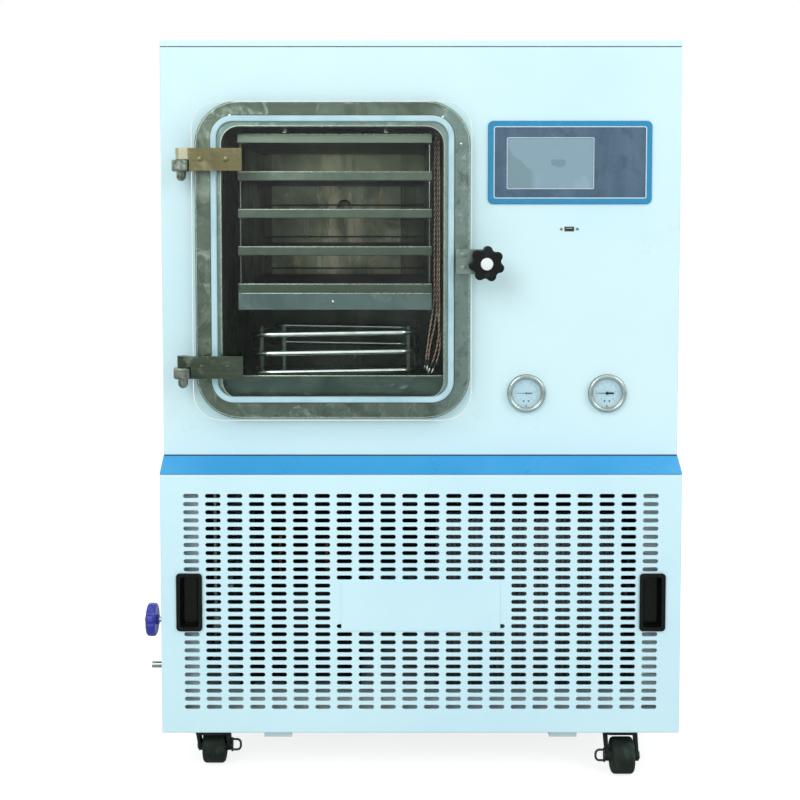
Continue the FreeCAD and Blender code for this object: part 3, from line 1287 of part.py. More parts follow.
# ================================================================ drain
def drain_valve():
    """The valve on the left: line from the chamber, body, bonnet, stem and spout."""
    outside = -HALF_W
    body = rod_z(VALVE_BODY_R, VALVE_BODY_X, VALVE_Y, VALVE_Z - VALVE_BODY_R, VALVE_Z + VALVE_BODY_R)
    bonnet = rod_x(BONNET_R, VALVE_Y, VALVE_Z, outside - BONNET_OUT, VALVE_BODY_X)
    locknut = rod_x(LOCKNUT_R, VALVE_Y, VALVE_Z, outside - LOCKNUT_T, outside)
    stem = rod_x(STEM_R, VALVE_Y, VALVE_Z, WHEEL_FACE_X + VALVE_HUB_T, VALVE_BODY_X)
    under = CHAMBER_Z - CHAMBER_H / 2 - CHAMBER_WALL
    turn_z = (DECK_TOP + FOAM_LOW) / 2
    line, length, radii = tube([
        Vector(CHAMBER_X, DRAIN_STUB_Y, under), Vector(CHAMBER_X, DRAIN_STUB_Y, turn_z),
        Vector(VALVE_BODY_X, VALVE_Y, turn_z), Vector(VALVE_BODY_X, VALVE_Y, VALVE_Z)],
        DRAIN_LINE_R, PIPE_BEND)
    report_tube("drain line", line, DRAIN_LINE_R, length, radii)
    spout, length, radii = tube([
        Vector(VALVE_BODY_X, VALVE_Y, VALVE_Z), Vector(VALVE_BODY_X, VALVE_Y, DRAIN_Z),
        Vector(outside - DRAIN_OUT, VALVE_Y, DRAIN_Z)], DRAIN_R, PIPE_BEND)
    report_tube("drain spout", spout, DRAIN_R, length, radii)
    bore = rod_x(DRAIN_BORE_R, VALVE_Y, DRAIN_Z, outside - DRAIN_OUT - 1, outside)
    return fused(body, bonnet, locknut, stem, line, spout).cut(bore)


def valve_handwheel():
    """The domed wheel with a grip groove, on the valve's stem."""
    inner_face = WHEEL_FACE_X + VALVE_WHEEL_T
    wheel = rod_x(VALVE_WHEEL_R, VALVE_Y, VALVE_Z, WHEEL_FACE_X, inner_face)
    rim = [e for e in wheel.Edges if e.BoundBox.XLength < FIT]
    wheel = wheel.makeFillet(VALVE_WHEEL_T / 3, rim)
    hub = rod_x(VALVE_HUB_R, VALVE_Y, VALVE_Z, inner_face - 1, inner_face + VALVE_HUB_T)
    grips = []
    for i in range(WHEEL_GRIPS):
        angle = 2 * math.pi * i / WHEEL_GRIPS
        y = VALVE_Y + (VALVE_WHEEL_R + GRIP_R / 2) * math.cos(angle)
        z = VALVE_Z + (VALVE_WHEEL_R + GRIP_R / 2) * math.sin(angle)
        grips.append(rod_x(GRIP_R, y, z, WHEEL_FACE_X - 1, inner_face + 1))
    bore = rod_x(STEM_R + RUN, VALVE_Y, VALVE_Z, WHEEL_FACE_X + VALVE_HUB_T - FIT,
                 inner_face + VALVE_HUB_T + 1)
    return fused(wheel, hub).cut(grips + [bore])


# ================================================================ casters
def turned(shape, x, y, angle):
    """A caster piece made round the Z axis, turned and set in its place."""
    shape.rotate(Vector(), Vector(0, 0, 1), angle)
    shape.translate(Vector(x, y, 0))
    return shape


def caster_fork(with_brake):
    """The swivel head, two cheeks and the axle, with a stub where there is a brake."""
    head = box(-CHEEK_OUT, CHEEK_OUT, -HEAD_D / 2, HEAD_D / 2, HEAD_LOW, HEAD_TOP)
    corners = [e for e in head.Edges if e.BoundBox.ZLength > HEAD_T - 1]
    head = head.makeFillet(CHEEK_R, corners)
    outline = [(-HEAD_D / 2 + CHEEK_R, HEAD_LOW + 1), (CASTER_TRAIL - CHEEK_R, WHEEL_R),
               (CASTER_TRAIL + CHEEK_R, WHEEL_R), (HEAD_D / 2 - CHEEK_R, HEAD_LOW + 1)]
    parts = []
    for side in (-1, 1):
        x0, x1 = sorted((side * CHEEK_IN, side * CHEEK_OUT))
        parts.append(polygon_x(outline, x0, x1))
        parts.append(rod_x(CHEEK_R, CASTER_TRAIL, WHEEL_R, x0, x1))
    parts.append(rod_x(AXLE_R, CASTER_TRAIL, WHEEL_R, -CHEEK_OUT, CHEEK_OUT))
    if with_brake:
        parts.append(rod_x(BRAKE_PIN_R, CASTER_TRAIL, WHEEL_R, CHEEK_IN, CHEEK_OUT + BRAKE_ARM_T + FIT))
    return fused(head, *parts).cut(rod_z(KINGPIN_R + RUN, 0, 0, HEAD_LOW - 1, HEAD_TOP + 1))


def caster_wheel():
    """A crowned wheel with a middle groove."""
    wheel = rod_x(WHEEL_R, CASTER_TRAIL, WHEEL_R, -WHEEL_W / 2, WHEEL_W / 2)
    rims = [e for e in wheel.Edges if e.BoundBox.XLength < FIT]
    wheel = wheel.makeFillet(WHEEL_ROUND, rims)
    hub = rod_x(CHEEK_R, CASTER_TRAIL, WHEEL_R, -CHEEK_IN + FIT, CHEEK_IN - FIT)
    bore = rod_x(AXLE_R + RUN, CASTER_TRAIL, WHEEL_R, -CHEEK_IN, CHEEK_IN)
    return fused(wheel, hub).cut(bore)


def brake_loop():
    """The wire loop that is trodden down, on its pivot arm."""
    x0 = CHEEK_OUT + FIT
    x1 = x0 + BRAKE_ARM_T
    reach = BRAKE_H / 2 - BRAKE_WIRE_R
    arm = box(x0, x1, CASTER_TRAIL - 2 * BRAKE_WIRE_R, CASTER_TRAIL + 2 * BRAKE_WIRE_R,
              WHEEL_R - BRAKE_H / 2, WHEEL_R + BRAKE_H / 2)
    eye = rod_x(2 * BRAKE_PIN_R, CASTER_TRAIL, WHEEL_R, x0, x1)
    wire = tube([Vector(x0 + 1, CASTER_TRAIL, WHEEL_R + reach),
                 Vector(CHEEK_OUT + BRAKE_OUT, CASTER_TRAIL, WHEEL_R + reach),
                 Vector(CHEEK_OUT + BRAKE_OUT, CASTER_TRAIL, WHEEL_R - reach),
                 Vector(x0 + 1, CASTER_TRAIL, WHEEL_R - reach)], BRAKE_WIRE_R)[0]
    return fused(arm, eye, wire).cut(rod_x(BRAKE_PIN_R + RUN, CASTER_TRAIL, WHEEL_R, CHEEK_OUT, x1 + 1))


# ================================================================ the assembly
def build():
    save("base_frame", base_frame())
    save("left_side_panel", left_side_panel())
    save("right_side_panel", side_panel(1))
    save("top_cover", top_cover())
    save("front_fascia", front_fascia())
    save("trim_band", trim_band())
    save("rear_panel", rear_panel())
    save("grille_panel", grille_panel())
    save("blank_plate", blank_plate())
    save("flush_handles", flush_handle(-1), flush_handle(1))
    save("compressor_primary", compressor(COMPRESSOR_Y[0]))
    save("compressor_secondary", compressor(COMPRESSOR_Y[1]))
    save("compressor_grommets", *compressor_grommets())
    save("condenser_core", condenser_core())
    save("fan_shroud", fan_shroud())
    save("fan_blades", fan_blades())
    save("refrigerant_lines", *refrigerant_lines())
    save("chamber_shell", chamber_shell())
    save("chamber_flange", chamber_flange())
    save("door_gasket", door_gasket())
    save("chamber_insulation", chamber_insulation())
    save("vacuum_port", vacuum_port())
    save("shelf_rack", shelf_rack())
    for i in range(SHELF_COUNT):
        save(f"shelf_{i + 1}", shelf(i))
    save("baffle_tray", baffle_tray())
    save("cold_trap_coil", cold_trap_coil())
    save("probe_cables", *probe_cables())
    hinge, latch = screw_places()
    save("door_plate", door_plate())
    save("hinge_plates", *[hinge_plate(z).cut(screw_holes(hinge)) for z in HINGE_Z])
    save("hinge_brackets", *[hinge_bracket(z) for z in HINGE_Z])
    save("latch_plate", latch_plate())
    save("door_screws", *[screw(x, z, 0) for x, z in hinge + latch])
    save("latch_boss", latch_boss())
    save("knob_washer", knob_washer())
    save("star_knob", star_knob())
    save("display_bezel", display_bezel())
    save("display_panel", display_panel())
    save("display_screen", display_screen())
    save("usb_socket", *usb_socket())
    for i, x in enumerate(GAUGE_X):
        save(f"gauge_{i + 1}", gauge(x))
        save(f"gauge_{i + 1}_pointer", gauge_pointer(x))
    save("gauge_lenses", *[gauge_lens(x) for x in GAUGE_X])
    save("drain_valve", drain_valve())
    save("valve_handwheel", valve_handwheel())
    for name, x, y, angle, braked in CASTERS:
        save(f"caster_fork_{name}", turned(caster_fork(braked), x, y, angle))
        save(f"caster_wheel_{name}", turned(caster_wheel(), x, y, angle))
        if braked:
            save(f"brake_loop_{name}", turned(brake_loop(), x, y, angle))


def main():
    build()
    os.makedirs("parts", exist_ok=True)
    for name, shape in nodes.items():
        shape.translate(-ORIGIN)
        shape.exportStep(f"parts/{name}.step")


main()
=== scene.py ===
import math

import bpy
from mathutils import Euler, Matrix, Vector


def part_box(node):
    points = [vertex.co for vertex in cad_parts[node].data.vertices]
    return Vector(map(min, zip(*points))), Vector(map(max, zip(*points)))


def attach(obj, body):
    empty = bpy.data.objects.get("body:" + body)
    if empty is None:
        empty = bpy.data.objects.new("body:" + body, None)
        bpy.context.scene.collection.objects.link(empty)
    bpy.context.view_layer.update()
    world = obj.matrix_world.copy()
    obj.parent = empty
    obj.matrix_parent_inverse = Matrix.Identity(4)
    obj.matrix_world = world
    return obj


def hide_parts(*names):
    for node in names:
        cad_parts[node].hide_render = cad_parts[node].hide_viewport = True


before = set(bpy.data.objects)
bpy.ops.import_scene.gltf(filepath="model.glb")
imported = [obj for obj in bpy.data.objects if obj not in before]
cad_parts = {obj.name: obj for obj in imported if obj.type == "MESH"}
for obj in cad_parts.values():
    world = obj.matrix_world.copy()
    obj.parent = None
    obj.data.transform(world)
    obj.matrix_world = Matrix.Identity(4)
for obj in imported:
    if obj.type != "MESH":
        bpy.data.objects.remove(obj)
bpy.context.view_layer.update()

MM = 0.001
HERE = Vector((0, 0, 0))
FRONT, LEFT, BACK, RIGHT, UP, DOWN = "front", "left", "back", "right", "up", "down"


# ======== places
def middle(node):
    low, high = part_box(node)
    return (low + high) / 2


def spot(x, y, z):
    """A place given in millimetres from the cabinet's middle, the upper front and the floor."""
    return Vector((x + CABINET_X, y + CABINET_Y, z)) * MM


CABINET_X = middle("front_fascia").x / MM
CABINET_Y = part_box("front_fascia")[0].y / MM
VESSEL_X = -152               # the middle of the chamber and of its rear port
SHELVES_X = -150.5
PORT_Z = 1000
SHELF_STEP = 65.8             # from one shelf down to the next
GAUGES_X, GAUGES_Z = (184.3, 325.3), 671.9
USB_X, USB_Z = 257.7, 957.8
VALVE_Y, VALVE_Z = 165, 219.6
INLET_X, INLET_Z = 330, 180
CASTERS_X = {"left": -368, "right": 355}
CASTERS_Y = {"front": 9, "rear": 805}
CASTER_NAMES = [f"{end}_{side}" for end in CASTERS_Y for side in CASTERS_X]
BRAKED = {"front_left": 1, "front_right": -1}  # the side of a wheel that its brake lever is on


# ======== setting values
def assign(thing, **values):
    """Sets a thing's properties."""
    for key, value in values.items():
        setattr(thing, key, value)
    return thing


def fill_in(node, **values):
    """Sets a node's inputs by name, with an underscore where the name has a space."""
    for key, value in values.items():
        node.inputs[key.replace("_", " ")].default_value = value
    return node


def added(name, data):
    """A new object in the scene."""
    thing = bpy.data.objects.new(name, data)
    bpy.context.scene.collection.objects.link(thing)
    return thing


# ======== camera
LOOKS_DOWN = 0.059            # radians below the level


def set_camera():
    """The front from chest height, a little left of its middle, looking slightly down."""
    data = assign(bpy.data.cameras.new("camera"), lens=60.11, sensor_width=36, shift_x=0.005,
                  shift_y=-0.13, clip_start=0.05, clip_end=60)
    camera = added("camera", data)
    camera.location = spot(-42.9, -2319.3, 978.5)
    camera.rotation_euler = Euler((math.radians(90) - LOOKS_DOWN, 0, 0))
    bpy.context.scene.camera = camera


set_camera()


# ======== finishes
MIX_FIRST, MIX_SECOND, MIX_RESULT = 6, 7, 2  # the colour sockets of a Mix node


def linear(colour, share=1):
    """A screen colour, 0 to 255, as the linear one a shader takes, dimmed to a share of itself."""
    def one(value):
        value /= 255
        return value / 12.92 if value <= 0.04045 else ((value + 0.055) / 1.055) ** 2.4
    return (*(one(value) * share for value in colour), 1)


class Finish:
    """A material under construction: one shader and the patterns that drive it."""

    def __init__(self, name, colour, roughness, metallic=0):
        self.name = name
        self.material = bpy.data.materials.new(name)
        self.material.use_nodes = True
        self.tree = self.material.node_tree
        self.shader = fill_in(self.tree.nodes["Principled BSDF"], Base_Color=linear(colour),
                              Roughness=roughness, Metallic=metallic)
        self.normal = None
        self.where = self.node("TexCoord").outputs["Object"]

    def node(self, kind, **settings):
        return assign(self.tree.nodes.new("ShaderNode" + kind), **settings)

    def link(self, source, target):
        self.tree.links.new(source, target)

    def pattern(self, made, output="Fac", stretch=None):
        """A node's output for places on the piece, with the places first stretched."""
        where = self.where
        if stretch:
            mapping = fill_in(self.node("Mapping", vector_type="POINT"), Scale=stretch)
            self.link(where, mapping.inputs["Vector"])
            where = mapping.outputs["Vector"]
        self.link(where, made.inputs["Vector"])
        return made.outputs[output]

    def noise(self, scale, detail=3, rough=0.5, distortion=0, stretch=None):
        made = fill_in(self.node("TexNoise"), Scale=scale, Detail=detail, Roughness=rough,
                       Distortion=distortion)
        return self.pattern(made, "Fac", stretch)

    def cells(self, scale):
        return self.pattern(fill_in(self.node("TexVoronoi"), Scale=scale), "Distance")

    def bands(self, scale, direction):
        made = self.node("TexWave", wave_type="BANDS", bands_direction=direction)
        return self.pattern(fill_in(made, Scale=scale))

    def along(self, axis):
        """How far a point lies along X, Y or Z, in metres."""
        return self.pattern(self.node("SeparateXYZ"), axis)

    def spread(self, value, low, high, start=0, end=1, smooth=False):
        """value from low..high mapped to start..end, held at the ends."""
        made = fill_in(self.node("MapRange", clamp=True), From_Min=low, From_Max=high,
                       To_Min=start, To_Max=end)
        if smooth:
            made.interpolation_type = "SMOOTHSTEP"
        self.link(value, made.inputs["Value"])
        return made.outputs["Result"]

    def sum(self, first, second, operation="ADD"):
        made = self.node("Math", operation=operation)
        self.link(first, made.inputs[0])
        self.link(second, made.inputs[1])
        return made.outputs["Value"]

    def both(self, first, second):
        """The product of two shares."""
        return self.sum(first, second, "MULTIPLY")

    def between(self, axis, start, end, soft):
        """1 between two places on an axis, falling to 0 over a soft width outside them."""
        value = self.along(axis)
        return self.both(self.spread(value, start - soft, start, smooth=True),
                         self.spread(value, end, end + soft, 1, 0, smooth=True))

    def tint(self, share, colour, dim=1):
        """Blends the shader's colour towards another where share is 1."""
        made = self.node("Mix", data_type="RGBA")
        base = self.shader.inputs["Base Color"]
        self.link(share, made.inputs["Factor"])
        if base.is_linked:
            self.link(base.links[0].from_socket, made.inputs[MIX_FIRST])
        else:
            made.inputs[MIX_FIRST].default_value = base.default_value
        made.inputs[MIX_SECOND].default_value = linear(colour, dim)
        self.link(made.outputs[MIX_RESULT], base)

    def clouds(self, noise, low, high, colour, most=1, smooth=False, dim=1):
        """Tints the shader where a noise lies above low, at most by a share."""
        self.tint(self.spread(self.noise(*noise), low, high, 0, most, smooth), colour, dim)

    def rough(self, value, start, end, low=0.3, high=0.7):
        self.link(self.spread(value, low, high, start, end), self.shader.inputs["Roughness"])

    def shape(self, made):
        """Lets a node shape the surface on top of what shapes it already."""
        if self.normal:
            self.link(self.normal, made.inputs["Normal"])
        self.normal = made.outputs["Normal"]
        self.link(self.normal, self.shader.inputs["Normal"])
        return self

    def relief(self, height, strength, distance):
        """Bumps, their distance in millimetres."""
        bump = fill_in(self.node("Bump"), Strength=strength, Distance=distance * MM)
        self.link(height, bump.inputs["Height"])
        self.shape(bump)

    def soft_edges(self, radius):
        return self.shape(fill_in(self.node("Bevel", samples=4), Radius=radius * MM))

    def see_through(self, share, colour):
        """Lets tinted light through except where share is 1."""
        through = fill_in(self.node("BsdfTransparent"), Color=linear(colour))
        mix = self.node("MixShader")
        for source, target in zip((share, through.outputs[0], self.shader.outputs[0]), mix.inputs):
            self.link(source, target)
        self.link(mix.outputs[0], self.tree.nodes["Material Output"].inputs["Surface"])


def paint(name, colour, darker, roughness=0.3):
    """Sprayed enamel with faint orange peel, haze and handling marks."""
    made = Finish(name, colour, roughness).soft_edges(0.8)
    made.clouds((2.2, 4, 0.6), 0.35, 0.7, darker, smooth=True)
    made.rough(made.noise(7, 6, 0.65, 0.6), roughness - 0.07, roughness + 0.09)
    made.relief(made.noise(520, 2, 0.5), 0.05, 0.25)
    made.relief(made.noise(60, 1, 0.4), 0.03, 0.4)
    return made


def steel(name, bright, dark, patch, along="X", roughness=0.34, patchy=9, brushed=0.10):
    """Ground stainless sheet: fine scratches one way, clouds of tone and dull handling marks."""
    across = {"X": (3, 240, 240), "Z": (240, 240, 3)}[along]
    made = Finish(name, bright, roughness, 1).soft_edges(0.5)
    clouds = made.noise(patchy, 6, 0.62, 1.2)
    made.tint(made.spread(clouds, 0.36, 0.66, smooth=True), dark)
    made.clouds((patchy * 1.7, 5, 0.6, 2), 0.56, 0.74, patch, smooth=True)
    grain = made.noise(1, 5, 0.7, stretch=across)
    made.rough(made.both(grain, clouds), roughness - 0.1, roughness + 0.16, 0.12, 0.42)
    made.relief(grain, brushed, 0.12)
    return made


def bright_metal(name, colour, roughness=0.16):
    """Polished turned metal with light turning marks and fingerprints."""
    made = Finish(name, colour, roughness, 1).soft_edges(0.3)
    made.clouds((60, 4, 0.6), 0.45, 0.8, colour, dim=0.72)
    made.rough(made.noise(140, 5, 0.6, 0.8), roughness - 0.06, roughness + 0.14)
    made.relief(made.noise(900, 2), 0.05, 0.05)
    return made


def moulded(name, colour, lighter, roughness=0.42, grain=1300):
    """Moulded plastic with a fine sparked grain and rubbed patches."""
    made = Finish(name, colour, roughness).soft_edges(0.6)
    made.clouds((35, 5, 0.6, 0.7), 0.5, 0.8, lighter)
    made.rough(made.noise(22, 5, 0.6), roughness - 0.1, roughness + 0.12)
    made.relief(made.cells(grain), 0.16, 0.10)
    return made


def clear(name, colour, least, most, smears=0):
    """Clear sheet, with its shine by the angle of view and faint smears."""
    made = Finish(name, (238, 246, 246), 0.05, 1)
    weight = fill_in(made.node("LayerWeight"), Blend=0.32)
    share = made.spread(weight.outputs["Fresnel"], 0, 1, least, most)
    marks = made.noise(5, 7, 0.68, 1.8)
    made.rough(marks, 0.03, 0.20)
    if smears:
        share = made.sum(share, made.spread(marks, 0.52, 0.8, 0, smears))
    made.see_through(share, colour)
    return made


def flange_steel():
    """Ground steel ring, greyer on its left and brighter towards its right as painted reflection.
    """
    made = steel("flange_steel", (110, 124, 112), (82, 94, 82), (150, 164, 152), "Z", 0.34, 11)
    # Painted reflection: the ring is tinted brighter towards its right side.
    right = made.between("X", 0.075, 0.30, 0.03)
    made.tint(made.spread(right, 0, 1, 0, 0.7), (134, 156, 154))
    made.clouds((10, 6, 0.65, 1.5), 0.54, 0.70, (76, 88, 76), 0.85)
    made.clouds((7, 5, 0.6, 0.8), 0.58, 0.72, (164, 176, 160), 0.7)
    made.clouds((42, 6, 0.7, 0.6), 0.55, 0.68, (70, 80, 64), 0.6)
    made.clouds((31, 6, 0.7, 0.9), 0.57, 0.68, (168, 182, 174), 0.7)
    land = made.both(made.between("X", -0.3197, 0.0777, 0.001),
                     made.between("Z", 0.6683, 1.1417, 0.001))
    made.tint(made.spread(land, 0, 1, 0, 0.35), (152, 180, 180))
    return made


def back_steel():
    """The vessel's rear wall: a bright middle with tan stains between sides darkened as painted
    shade, with painted shade low down and painted light high up.
    """
    made = steel("back_steel", (158, 162, 138), (124, 132, 112), (178, 170, 134), "Z", 0.34, 8,
                 0.02)
    made.clouds((7, 4, 0.55, 0.3), 0.50, 0.70, (98, 106, 88), 0.8)
    made.clouds((1, 6, 0.7, 0.5, (17, 17, 11)), 0.59, 0.70, (214, 188, 138))
    wiped = made.noise(1, 5, 0.65, 0.3, (30, 30, 9))
    streak = made.both(made.between("X", -0.17, -0.09, 0.04), wiped)
    made.tint(made.spread(streak, 0.46, 0.62), (206, 200, 172))
    # Painted shade on the sides, leaving the middle lit.
    lit_middle = made.between("X", -0.271, -0.004, 0.004)
    made.tint(made.spread(lit_middle, 0, 1, 0.75, 0), (52, 60, 50))
    # Painted shade low down, below the tray, and painted light high up.
    height = made.along("Z")
    made.tint(made.spread(height, 0.80, 0.87, 0.9, 0, smooth=True), (48, 58, 54))
    made.tint(made.spread(height, 1.05, 1.07, 0, 0.45, smooth=True), (206, 214, 180))
    return made


def silicone():
    made = Finish("silicone", (208, 238, 252), 0.38).soft_edges(0.8)
    fill_in(made.shader, Subsurface_Weight=0.25, Subsurface_Radius=(0.004, 0.004, 0.005),
            Subsurface_Scale=1)
    made.clouds((14, 5, 0.6), 0.45, 0.75, (178, 214, 232))
    made.rough(made.noise(40, 4), 0.3, 0.5)
    made.relief(made.noise(300, 3), 0.12, 0.3)
    return made


def dial_white():
    made = Finish("gauge_dial", (218, 244, 254), 0.45)
    made.clouds((80, 4), 0.45, 0.75, (204, 236, 250))
    made.relief(made.noise(1500, 2), 0.05, 0.05)
    return made


def panel_sheet():
    """Printed polyester sheet: a cloudy blue-grey with vertical reflections."""
    made = Finish("panel_grey", (66, 94, 116), 0.22).soft_edges(0.4)
    made.clouds((1, 3, 0.5, 0, (26, 26, 5)), 0.35, 0.7, (84, 112, 134), smooth=True)
    made.clouds((38, 5, 0.6), 0.52, 0.75, (56, 80, 102))
    made.rough(made.noise(30, 4), 0.16, 0.32)
    made.relief(made.noise(900, 2), 0.04, 0.05)
    return made


def screen_film():
    """A dark display under its wrinkled protective film."""
    made = Finish("screen", (142, 172, 188), 0.14).soft_edges(0.3)
    folds = made.noise(9, 2, 0.5, 1.2)
    made.tint(made.spread(folds, 0.44, 0.50), (134, 164, 180))
    wander = made.spread(made.noise(46, 3, 0.5), 0.3, 0.7, -0.006, 0.006)
    slant = made.sum(made.sum(made.along("X"), made.along("Z")), wander)
    corner = made.both(made.spread(slant, 1.280, 1.277), made.between("X", 0.10, 0.218, 0.014))
    made.tint(made.spread(corner, 0, 1, 0, 0.7), (116, 144, 150))
    spots = made.both(made.between("X", 0.258, 0.280, 0.006),
                      made.between("Z", 1.066, 1.076, 0.006))
    crease = made.both(spots, made.noise(60, 2, 0.5, 1))
    made.tint(made.spread(crease, 0.40, 0.46, 0, 0.6), (104, 132, 148))
    made.rough(folds, 0.1, 0.26)
    made.relief(folds, 0.3, 0.6)
    return made


def cut_edge():
    """The sawn and flamed rim of a thick clear sheet."""
    made = Finish("door_edge", (246, 253, 254), 0.3)
    made.clouds((1, 4, 0.6, 0, (30, 400, 30)), 0.4, 0.7, (226, 242, 247))
    made.rough(made.noise(90, 4), 0.2, 0.42)
    made.see_through(made.spread(made.noise(18, 4), 0.3, 0.7, 0.14, 0.26), (250, 254, 254))
    return made


RECIPES = {
    paint: {  # colour, a darker one, roughness
        "white_paint": ((218, 249, 254), (209, 244, 252), 0.32),
        "lower_paint": ((212, 247, 255), (204, 241, 252), 0.34),
        "inside_paint": ((38, 44, 46), (26, 30, 32), 0.6),
        "blue_paint": ((58, 168, 230), (46, 154, 220), 0.30),
        "frame_paint": ((222, 240, 244), (196, 218, 224), 0.45),
        "black_enamel": ((20, 22, 23), (33, 35, 37), 0.35),
    },
    steel: {  # colour, clouds, patches, way of the grain, roughness, size of the clouds, depth
        "chamber_steel": ((122, 136, 112), (76, 92, 76), (158, 156, 118), "Z", 0.30, 6, 0.04),
        "sill_steel": ((92, 110, 104), (62, 80, 74), (126, 144, 136), "X", 0.3),
        "shelf_alloy": ((108, 120, 108), (82, 96, 84), (132, 144, 132), "X", 0.36, 7),
        "tray_alloy": ((106, 126, 124), (84, 104, 102), (128, 146, 144), "X", 0.36, 7),
        "rack_steel": ((84, 96, 84), (54, 64, 56), (112, 120, 104), "Z", 0.34),
        "hinge_steel": ((116, 113, 84), (96, 94, 68), (138, 134, 106), "X", 0.26, 14),
        "hinge_steel_low": ((88, 102, 88), (58, 72, 60), (126, 138, 122), "X", 0.26, 14),
        "eye_steel": ((150, 160, 148), (84, 96, 88), (196, 200, 184), "Z", 0.28, 46),
        "latch_steel": ((146, 166, 158), (112, 130, 122), (178, 194, 188), "X", 0.28),
        "weld_metal": ((150, 150, 138), (104, 92, 76), (92, 100, 128), "Z", 0.35, 60),
        "zinc": ((150, 158, 160), (120, 128, 130), (172, 180, 182), "X", 0.42, 22),
        "fin_alloy": ((150, 156, 158), (110, 116, 118), (170, 174, 176), "Z", 0.5),
        "fan_alloy": ((128, 134, 136), (96, 100, 102), (150, 154, 156), "X", 0.45),
        "copper": ((186, 112, 78), (120, 72, 52), (92, 84, 66), "Z", 0.36, 30),
    },
    bright_metal: {  # colour, roughness
        # A bright steel colour for strips and rings that are painted highlights along edges.
        "hem_steel": ((184, 196, 182), 0.24),
        "screw_steel": ((142, 148, 140), 0.28),
        # A dark steel colour for lines and bars that are painted shadow.
        "dark_steel": ((84, 92, 88), 0.3),
        "wire_steel": ((74, 84, 80), 0.34),
        "probe_steel": ((166, 172, 162), 0.2),
        "coil_steel": ((228, 240, 236), 0.13),
        "polished_steel": ((164, 174, 164), 0.2),
        "gauge_steel": ((188, 202, 198), 0.14),
        "contact_metal": ((196, 170, 96), 0.25),
    },
    moulded: {  # colour, rubbed patches, roughness, fineness of the grain
        "black_plastic": ((16, 20, 19), (34, 42, 39), 0.4),
        "handle_plastic": ((6, 11, 9), (16, 24, 21), 0.34, 900),
        "caster_plastic": ((24, 33, 28), (44, 56, 48), 0.5, 700),
        "wheel_nylon": ((26, 36, 30), (58, 72, 62), 0.52, 500),
        "knob_plastic": ((9, 16, 15), (34, 46, 44), 0.3, 1800),
        "cap_white": ((232, 242, 244), (214, 230, 236), 0.3, 1600),
        "navy_plastic": ((48, 52, 168), (84, 92, 186), 0.33, 1100),
        "bezel_blue": ((34, 139, 187), (50, 152, 200), 0.34, 1500),
        # A darker blue used as a painted shadow line round the bezel.
        "bezel_shade": ((40, 98, 132), (52, 120, 158), 0.4, 1500),
        "tongue_white": ((186, 196, 198), (160, 172, 176), 0.45, 1500),
        "black_rubber": ((24, 25, 25), (42, 43, 43), 0.7, 400),
        "brown_wire": ((150, 80, 60), (112, 58, 46), 0.45, 900),
        "white_wire": ((206, 200, 186), (176, 164, 150), 0.45, 900),
        "foam": ((196, 190, 166), (170, 160, 132), 0.85, 260),
        "scale_print": ((126, 152, 166), (106, 136, 134), 0.5),
        "dark_print": ((70, 84, 100), (92, 106, 124), 0.5),
        "ink": ((16, 26, 24), (34, 46, 44), 0.5),
        "pale_ink": ((142, 164, 172), (116, 138, 148), 0.5),
        # A white used as a painted highlight along the door's arris.
        "rim_white": ((240, 250, 252), (222, 240, 246), 0.25, 600),
        "white_line": ((204, 226, 236), (176, 206, 220), 0.4),
    },
    clear: {  # colour, shine seen straight on, shine seen flat, smears
        "clear_door": ((252, 254, 253), 0.003, 0.25, 0.020),
        "lens": ((250, 253, 253), 0.003, 0.30),
    },
}
OWN_RECIPES = (flange_steel, back_steel, silicone, dial_white, panel_sheet, screen_film, cut_edge)


def make_finishes():
    made = {name: recipe(name, *values)
            for recipe, rows in RECIPES.items() for name, values in rows.items()}
    for recipe in OWN_RECIPES:
        finish = recipe()
        made[finish.name] = finish
    shelves, hinge, foam, wheel = (made[name] for name in (
        "shelf_alloy", "hinge_steel", "foam", "wheel_nylon"))
    # Painted light on the top shelf, and painted shade growing towards the lower shelves.
    shelves.tint(shelves.spread(shelves.along("Z"), 1.095, 1.100), (132, 148, 132))
    shelves.tint(shelves.spread(shelves.along("Z"), 1.06, 0.88, 0, 0.8), (74, 86, 76))
    # Painted highlight: the upper hinge steel is lighter at the plate's left end.
    hinge.tint(hinge.between("X", -0.40, -0.366, 0.003), (176, 176, 152))
    foam.relief(foam.noise(40, 5, 0.7), 0.6, 2)
    wheel.relief(wheel.bands(26, "X"), 0.35, 0.5)
    for name in ("black_plastic", "handle_plastic", "caster_plastic", "wheel_nylon",
                 "knob_plastic"):
        fill_in(made[name].shader, Specular_IOR_Level=0.2)
    return made


finishes = {name: made.material for name, made in make_finishes().items()}


# ======== dressing the solids
PLAIN = {  # the solids that have one finish all over
    "frame_paint": "base_frame", "blue_paint": "trim_band", "lower_paint": "blank_plate",
    "handle_plastic": "flush_handles", "black_enamel": "compressor_primary compressor_secondary",
    "black_rubber": "compressor_grommets", "fin_alloy": "condenser_core", "zinc": "fan_shroud",
    "fan_alloy": "fan_blades", "copper": "refrigerant_lines", "flange_steel": "chamber_flange",
    "silicone": "door_gasket", "foam": "chamber_insulation", "rack_steel": "shelf_rack",
    "polished_steel": "vacuum_port latch_boss knob_washer drain_valve", "lens": "gauge_lenses",
    "shelf_alloy": "shelf_1 shelf_2 shelf_3 shelf_4 shelf_5", "tray_alloy": "baffle_tray",
    "brown_wire": "probe_cables", "eye_steel": "hinge_brackets", "latch_steel": "latch_plate",
    "knob_plastic": "star_knob", "bezel_blue": "display_bezel", "panel_grey": "display_panel",
    "screen": "display_screen", "black_plastic": "usb_socket", "navy_plastic": "valve_handwheel",
    "ink": "gauge_1_pointer gauge_2_pointer",
}
CASTER_FINISHES = {"caster_fork": "caster_plastic", "caster_wheel": "wheel_nylon",
                   "brake_loop": "wire_steel"}
